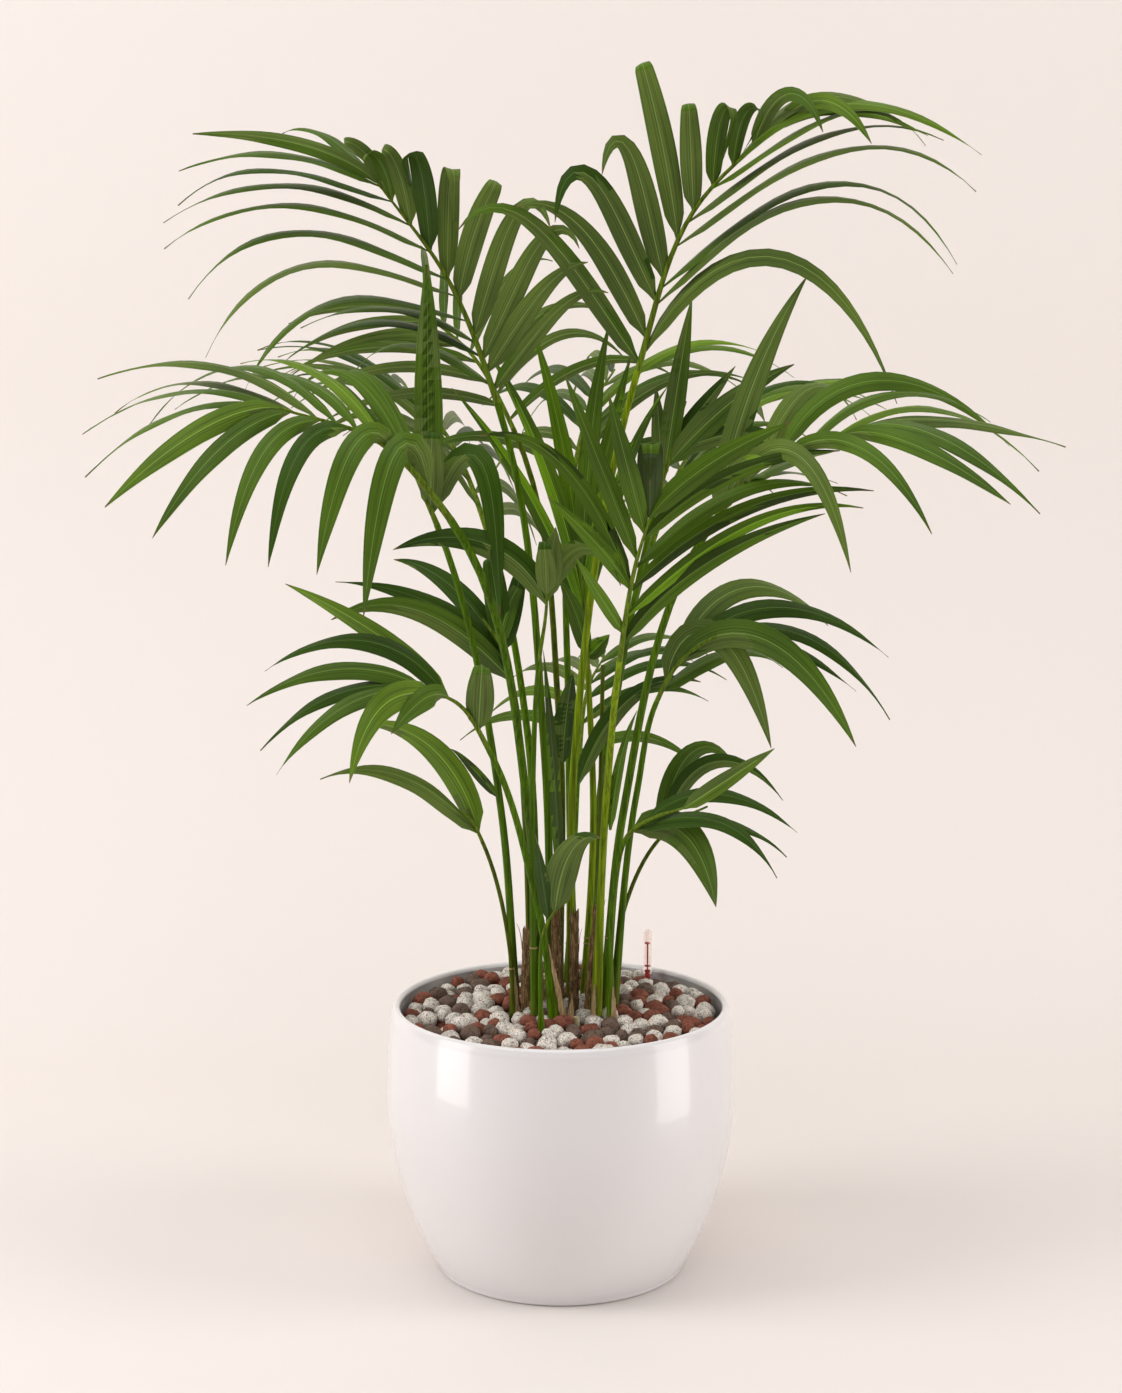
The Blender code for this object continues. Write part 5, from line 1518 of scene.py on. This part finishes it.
class KENTIA_OT_indicator(bpy.types.Operator):
    """Make the water level indicator: a clear capped tube round a red float stem"""

    bl_idname = "kentia.indicator"
    bl_label = "Water level indicator"

    def execute(self, context):
        settings = context.scene.kentia_indicator
        centre = (*INDICATOR_PLACE, 0.0)
        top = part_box("water_indicator")[1].z
        radius = INDICATOR_RADIUS
        inner = radius - settings.wall
        foot = FILL_TOP - INDICATOR_DEPTH
        tube = bmesh.new()
        profile = [(0.0, top)] + arc((0.0, top - radius), radius, 90, 0, CAP_STEPS)[1:]
        profile += [(radius, foot + TUBE_BEVEL), (radius - TUBE_OUTER_BEVEL, foot)]
        profile += [(inner + TUBE_INNER_BEVEL, foot), (inner, foot + TUBE_BEVEL)]
        profile += arc((0.0, top - radius), inner, 0, 90, CAP_STEPS)[:-1]
        profile.append((0.0, top - settings.wall))
        spin_profile(tube, profile, TUBE_STEPS, centre)
        add_piece("indicator_tube", tube, SHARP_HARD, [clear_material()], "indicator", ["water_indicator"])
        red = bmesh.new()
        body = inner - FLOAT_GAP
        rod = [(ROD_RADIUS * share, top - z) for share, z in ROD_TOP]
        rod += [(ROD_RADIUS * share, foot + z) for share, z in ROD_FOOT]
        spin_profile(red, [(body * share, top - z) for share, z in TOP_DISC], FLOAT_STEPS, centre)
        spin_profile(red, rod, ROD_STEPS, centre)
        for part in (FOOT_DISC, FOOT_COLLAR):
            spin_profile(red, [(body * share, foot + z) for share, z in part], FLOAT_STEPS, centre)
        stem = plain_relief_material("float_red", tuple(settings.stem), 0.30, scale=220.0, depth=0.0004)
        add_piece("indicator_float", red, SHARP_HARD, [stem], "indicator")
        return {"FINISHED"}


class KENTIA_OT_petioles(bpy.types.Operator):
    """Raise the petioles out of the granulate, with the dry margins of their sheaths"""

    bl_idname = "kentia.petioles"
    bl_label = "Petioles"

    def execute(self, context):
        settings = context.scene.kentia_stems
        bm = bmesh.new()
        ribs = bmesh.new()
        for name, frond in FRONDS.items():
            petiole, rib = frond_paths(frond, FINE_STEPS)
            radii = [petiole_radius(frond, i / (len(petiole) - 1)) for i in range(len(petiole))]
            petiole[0] -= UP * FOOT_DEPTH
            add_limb(bm, petiole, radii, PETIOLE_RESOLUTION, STEM_TINTS.get(name, 0))
            add_limb(ribs, rib, tapered(frond.girth[2], RIB_TIP_RADIUS, len(rib)), RACHIS_RESOLUTION)
        finishes = [stem_material("stem_" + tint, tuple(getattr(settings, tint)), *SCURFS[tint])
                    for tint in SCURFS]
        add_piece("petioles", bm, SHARP_SOFT, finishes, "petiole", ["petiole_" + name for name in FRONDS])
        rib_finish = stem_material("leaf_rib", tuple(settings.rachis), RIB_SCURF)
        add_piece("ribs", ribs, SHARP_SOFT, [rib_finish], "petiole")
        margins = bmesh.new()
        for name, (side, low, high) in MARGINS.items():
            add_margin(margins, FRONDS[name], side, low, high)
        for name, heights in RINGS.items():
            for height in heights:
                add_ring(margins, FRONDS[name], height)
        for scale in SCALES:
            add_scale(margins, *scale)
        papery = fibre_material("sheath_margin", tuple(settings.papery), MARGIN_LIGHT, 0.75)
        add_piece("sheath_margins", margins, SHARP_SOFT, [papery], "old_sheath")
        return {"FINISHED"}


class KENTIA_OT_stubs(bpy.types.Operator):
    """Leave the cut stubs of old petioles in the clump"""

    bl_idname = "kentia.stubs"
    bl_label = "Cut stubs"

    def execute(self, context):
        settings = context.scene.kentia_stems
        rng = random.Random(STUB_SEED)
        bm = bmesh.new()
        fibres = bmesh.new()
        for stub in STUBS.values():
            add_stub(bm, fibres, *stub, rng)
        x, y, radius = CUT_END
        profile = [(0.0, -CUT_END_FOOT), (radius, -CUT_END_FOOT), (radius, CUT_END_TOP), (0.0, CUT_END_TOP)]
        end = spin_profile(bm, profile, CUT_END_SIDES, (x, y, FILL_TOP))
        set_tint({face for vert in end for face in vert.link_faces}, 2)
        fibre = fibre_material("old_sheath", tuple(settings.fibre), FIBRE_LIGHT)
        rod = stem_material("old_rod", tuple(settings.olive), *SCURFS["olive"])
        pith = plain_relief_material("cut_pith", PITH_COLOUR, 0.8, scale=400.0, depth=0.0008)
        add_piece("old_stubs", bm, SHARP_STUB, [fibre, rod, pith], "old_sheath", list(STUBS))
        add_piece("loose_fibres", fibres, SHARP_SOFT, [fibre], "old_sheath")
        return {"FINISHED"}


class KENTIA_OT_fronds(bpy.types.Operator):
    """Grow the leaflets along the ribs, a piece for each frond"""

    bl_idname = "kentia.fronds"
    bl_label = "Fronds"

    def execute(self, context):
        settings = context.scene.kentia_leaves
        # The deep, olive and light tints are partly painted shade, painted grey sheen and painted light.
        finishes = [leaf_material("leaf_" + tint, tuple(getattr(settings, tint)), LEAF_ROUGHNESS)
                    for tint in TINT_NAMES]
        # The undersides' paler colour is partly their own and partly painted light shining through the blade.
        finishes.append(leaf_material("leaf_underside", tuple(settings.underside), BACK_ROUGHNESS))
        # Young blades: darker and lighter copies of one colour, painted shade and painted light.
        young = [leaf_material("young_" + tint, darker(settings.young, share), LEAF_ROUGHNESS)
                 for tint, share in YOUNG_SHADE_AND_LIGHT.items()]
        underside = darker(settings.young, YOUNG_UNDERSIDE)
        young.append(leaf_material("young_underside", underside, BACK_ROUGHNESS))
        for name, frond in FRONDS.items():
            rng = random.Random(frond.seed + BLADE_SEEDS)
            bm = bmesh.new()
            if name in LEAVES:
                grow_ruled(bm, name, rng, settings.fold)
            else:
                _, rib = frond_paths(frond, FINE_STEPS)
                grow_shaped(bm, SHAPED[name], rib, TINTS[name], rng, settings.fold)
            finish, slot = (young, "young_leaf") if name in YOUNG_FRONDS else (finishes, "leaf")
            add_piece("leaflets_" + name, bm, SHARP_SOFT, finish, slot, ["frond_" + name])
        for name, finish, slot in (("small_blades", finishes, "leaf"), ("young_blades", young, "young_leaf")):
            bm = bmesh.new()
            grow_shaped(bm, LOOSE[name], None, LOOSE_TINTS, random.Random(LOOSE_SEED), settings.fold)
            add_piece(name, bm, SHARP_SOFT, finish, slot)
        return {"FINISHED"}


class KENTIA_OT_stage(bpy.types.Operator):
    """Set up the seamless backdrop, the soft light and the camera"""

    bl_idname = "kentia.stage"
    bl_label = "Stage"

    def execute(self, context):
        settings = context.scene.kentia_stage
        scene = context.scene
        bm = bmesh.new()
        turns = [math.radians(90.0 * step / SWEEP_STEPS) for step in range(1, SWEEP_STEPS + 1)]
        profile = [(SHEET_FRONT, 0.0), (SWEEP_START, 0.0)]
        for turn in turns:
            y = SWEEP_START + SWEEP_RADIUS * math.sin(turn)
            profile.append((y, SWEEP_RADIUS * (1.0 - math.cos(turn))))
        profile.append((SWEEP_START + SWEEP_RADIUS, SHEET_TOP))
        verts = [bm.verts.new((SHEET_SIDE, y, z)) for y, z in profile]
        edges = [bm.edges.new(pair) for pair in zip(verts, verts[1:])]
        swept = bmesh.ops.extrude_edge_only(bm, edges=edges)["geom"]
        far = [item for item in swept if isinstance(item, bmesh.types.BMVert)]
        bmesh.ops.translate(bm, verts=far, vec=(SHEET_WIDTH, 0.0, 0.0))
        bmesh.ops.recalc_face_normals(bm, faces=bm.faces)
        bm.normal_update()
        if sum(face.normal.z for face in bm.faces) < 0.0:
            bmesh.ops.reverse_faces(bm, faces=bm.faces)
        mesh = mesh_of("backdrop", bm, SHARP_SOFT)
        mesh.materials.append(backdrop_material(tuple(settings.backdrop)))
        item = bpy.data.objects.new("backdrop", mesh)
        scene.collection.objects.link(item)
        world = bpy.data.worlds.new("soft_daylight")
        world.use_nodes = True
        sky = world.node_tree.nodes["Background"]
        sky.inputs["Color"].default_value = SKY_COLOUR
        sky.inputs["Strength"].default_value = settings.daylight
        world.cycles_visibility.glossy = False
        scene.world = world
        for name, (place, target, size, colour) in LIGHTS.items():
            lamp = add_area_light(name + "_light", place, target, size, getattr(settings, name), colour)
            lamp.visible_glossy = name == "top"
        for name, (azimuth, distance, low, wide, tall, power) in CARDS.items():
            turn = math.radians(azimuth)
            middle = low + tall / 2
            place = (distance * math.sin(turn), -distance * math.cos(turn), middle)
            card = add_area_light(name, place, (0.0, 0.0, middle), (wide, tall), power, CARD_COLOUR)
            card.visible_diffuse = False
            card.visible_transmission = False
            card.visible_camera = False
        camera = bpy.data.cameras.new("camera")
        camera.lens = CAMERA_LENS
        camera.sensor_width = CAMERA_SENSOR
        item = bpy.data.objects.new("camera", camera)
        item.location = CAMERA_PLACE
        item.rotation_euler = (math.radians(90.0 - CAMERA_DOWN), 0.0, 0.0)
        scene.collection.objects.link(item)
        scene.camera = item
        scene.view_settings.view_transform = "Standard"
        return {"FINISHED"}


SETTINGS = {
    "kentia_planter": PlanterSettings,
    "kentia_granulate": GranulateSettings,
    "kentia_indicator": IndicatorSettings,
    "kentia_stems": StemSettings,
    "kentia_leaves": LeafSettings,
    "kentia_stage": StageSettings,
}
OPERATORS = (
    KENTIA_OT_planter,
    KENTIA_OT_granulate,
    KENTIA_OT_indicator,
    KENTIA_OT_petioles,
    KENTIA_OT_stubs,
    KENTIA_OT_fronds,
    KENTIA_OT_stage,
)


class KENTIA_PT_pieces(bpy.types.Panel):
    """Lists the palm's pieces and their settings"""

    bl_idname = "KENTIA_PT_pieces"
    bl_label = "Kentia Palm"
    bl_space_type = "VIEW_3D"
    bl_region_type = "UI"
    bl_category = "Kentia"

    def draw(self, context):
        for operator in OPERATORS:
            self.layout.operator(operator.bl_idname)
        for key, settings in SETTINGS.items():
            box = self.layout.box()
            for name in settings.__annotations__:
                box.prop(getattr(context.scene, key), name)


def register():
    for settings in SETTINGS.values():
        bpy.utils.register_class(settings)
    for key, settings in SETTINGS.items():
        setattr(bpy.types.Scene, key, PointerProperty(type=settings))
    for operator in OPERATORS:
        bpy.utils.register_class(operator)
    bpy.utils.register_class(KENTIA_PT_pieces)


def unregister():
    bpy.utils.unregister_class(KENTIA_PT_pieces)
    for operator in reversed(OPERATORS):
        bpy.utils.unregister_class(operator)
    for key, settings in SETTINGS.items():
        delattr(bpy.types.Scene, key)
        bpy.utils.unregister_class(settings)


def main():
    register()
    bpy.ops.kentia.planter()
    bpy.ops.kentia.granulate()
    bpy.ops.kentia.indicator()
    bpy.ops.kentia.petioles()
    bpy.ops.kentia.stubs()
    bpy.ops.kentia.fronds()
    bpy.ops.kentia.stage()


if __name__ == "__main__":
    main()
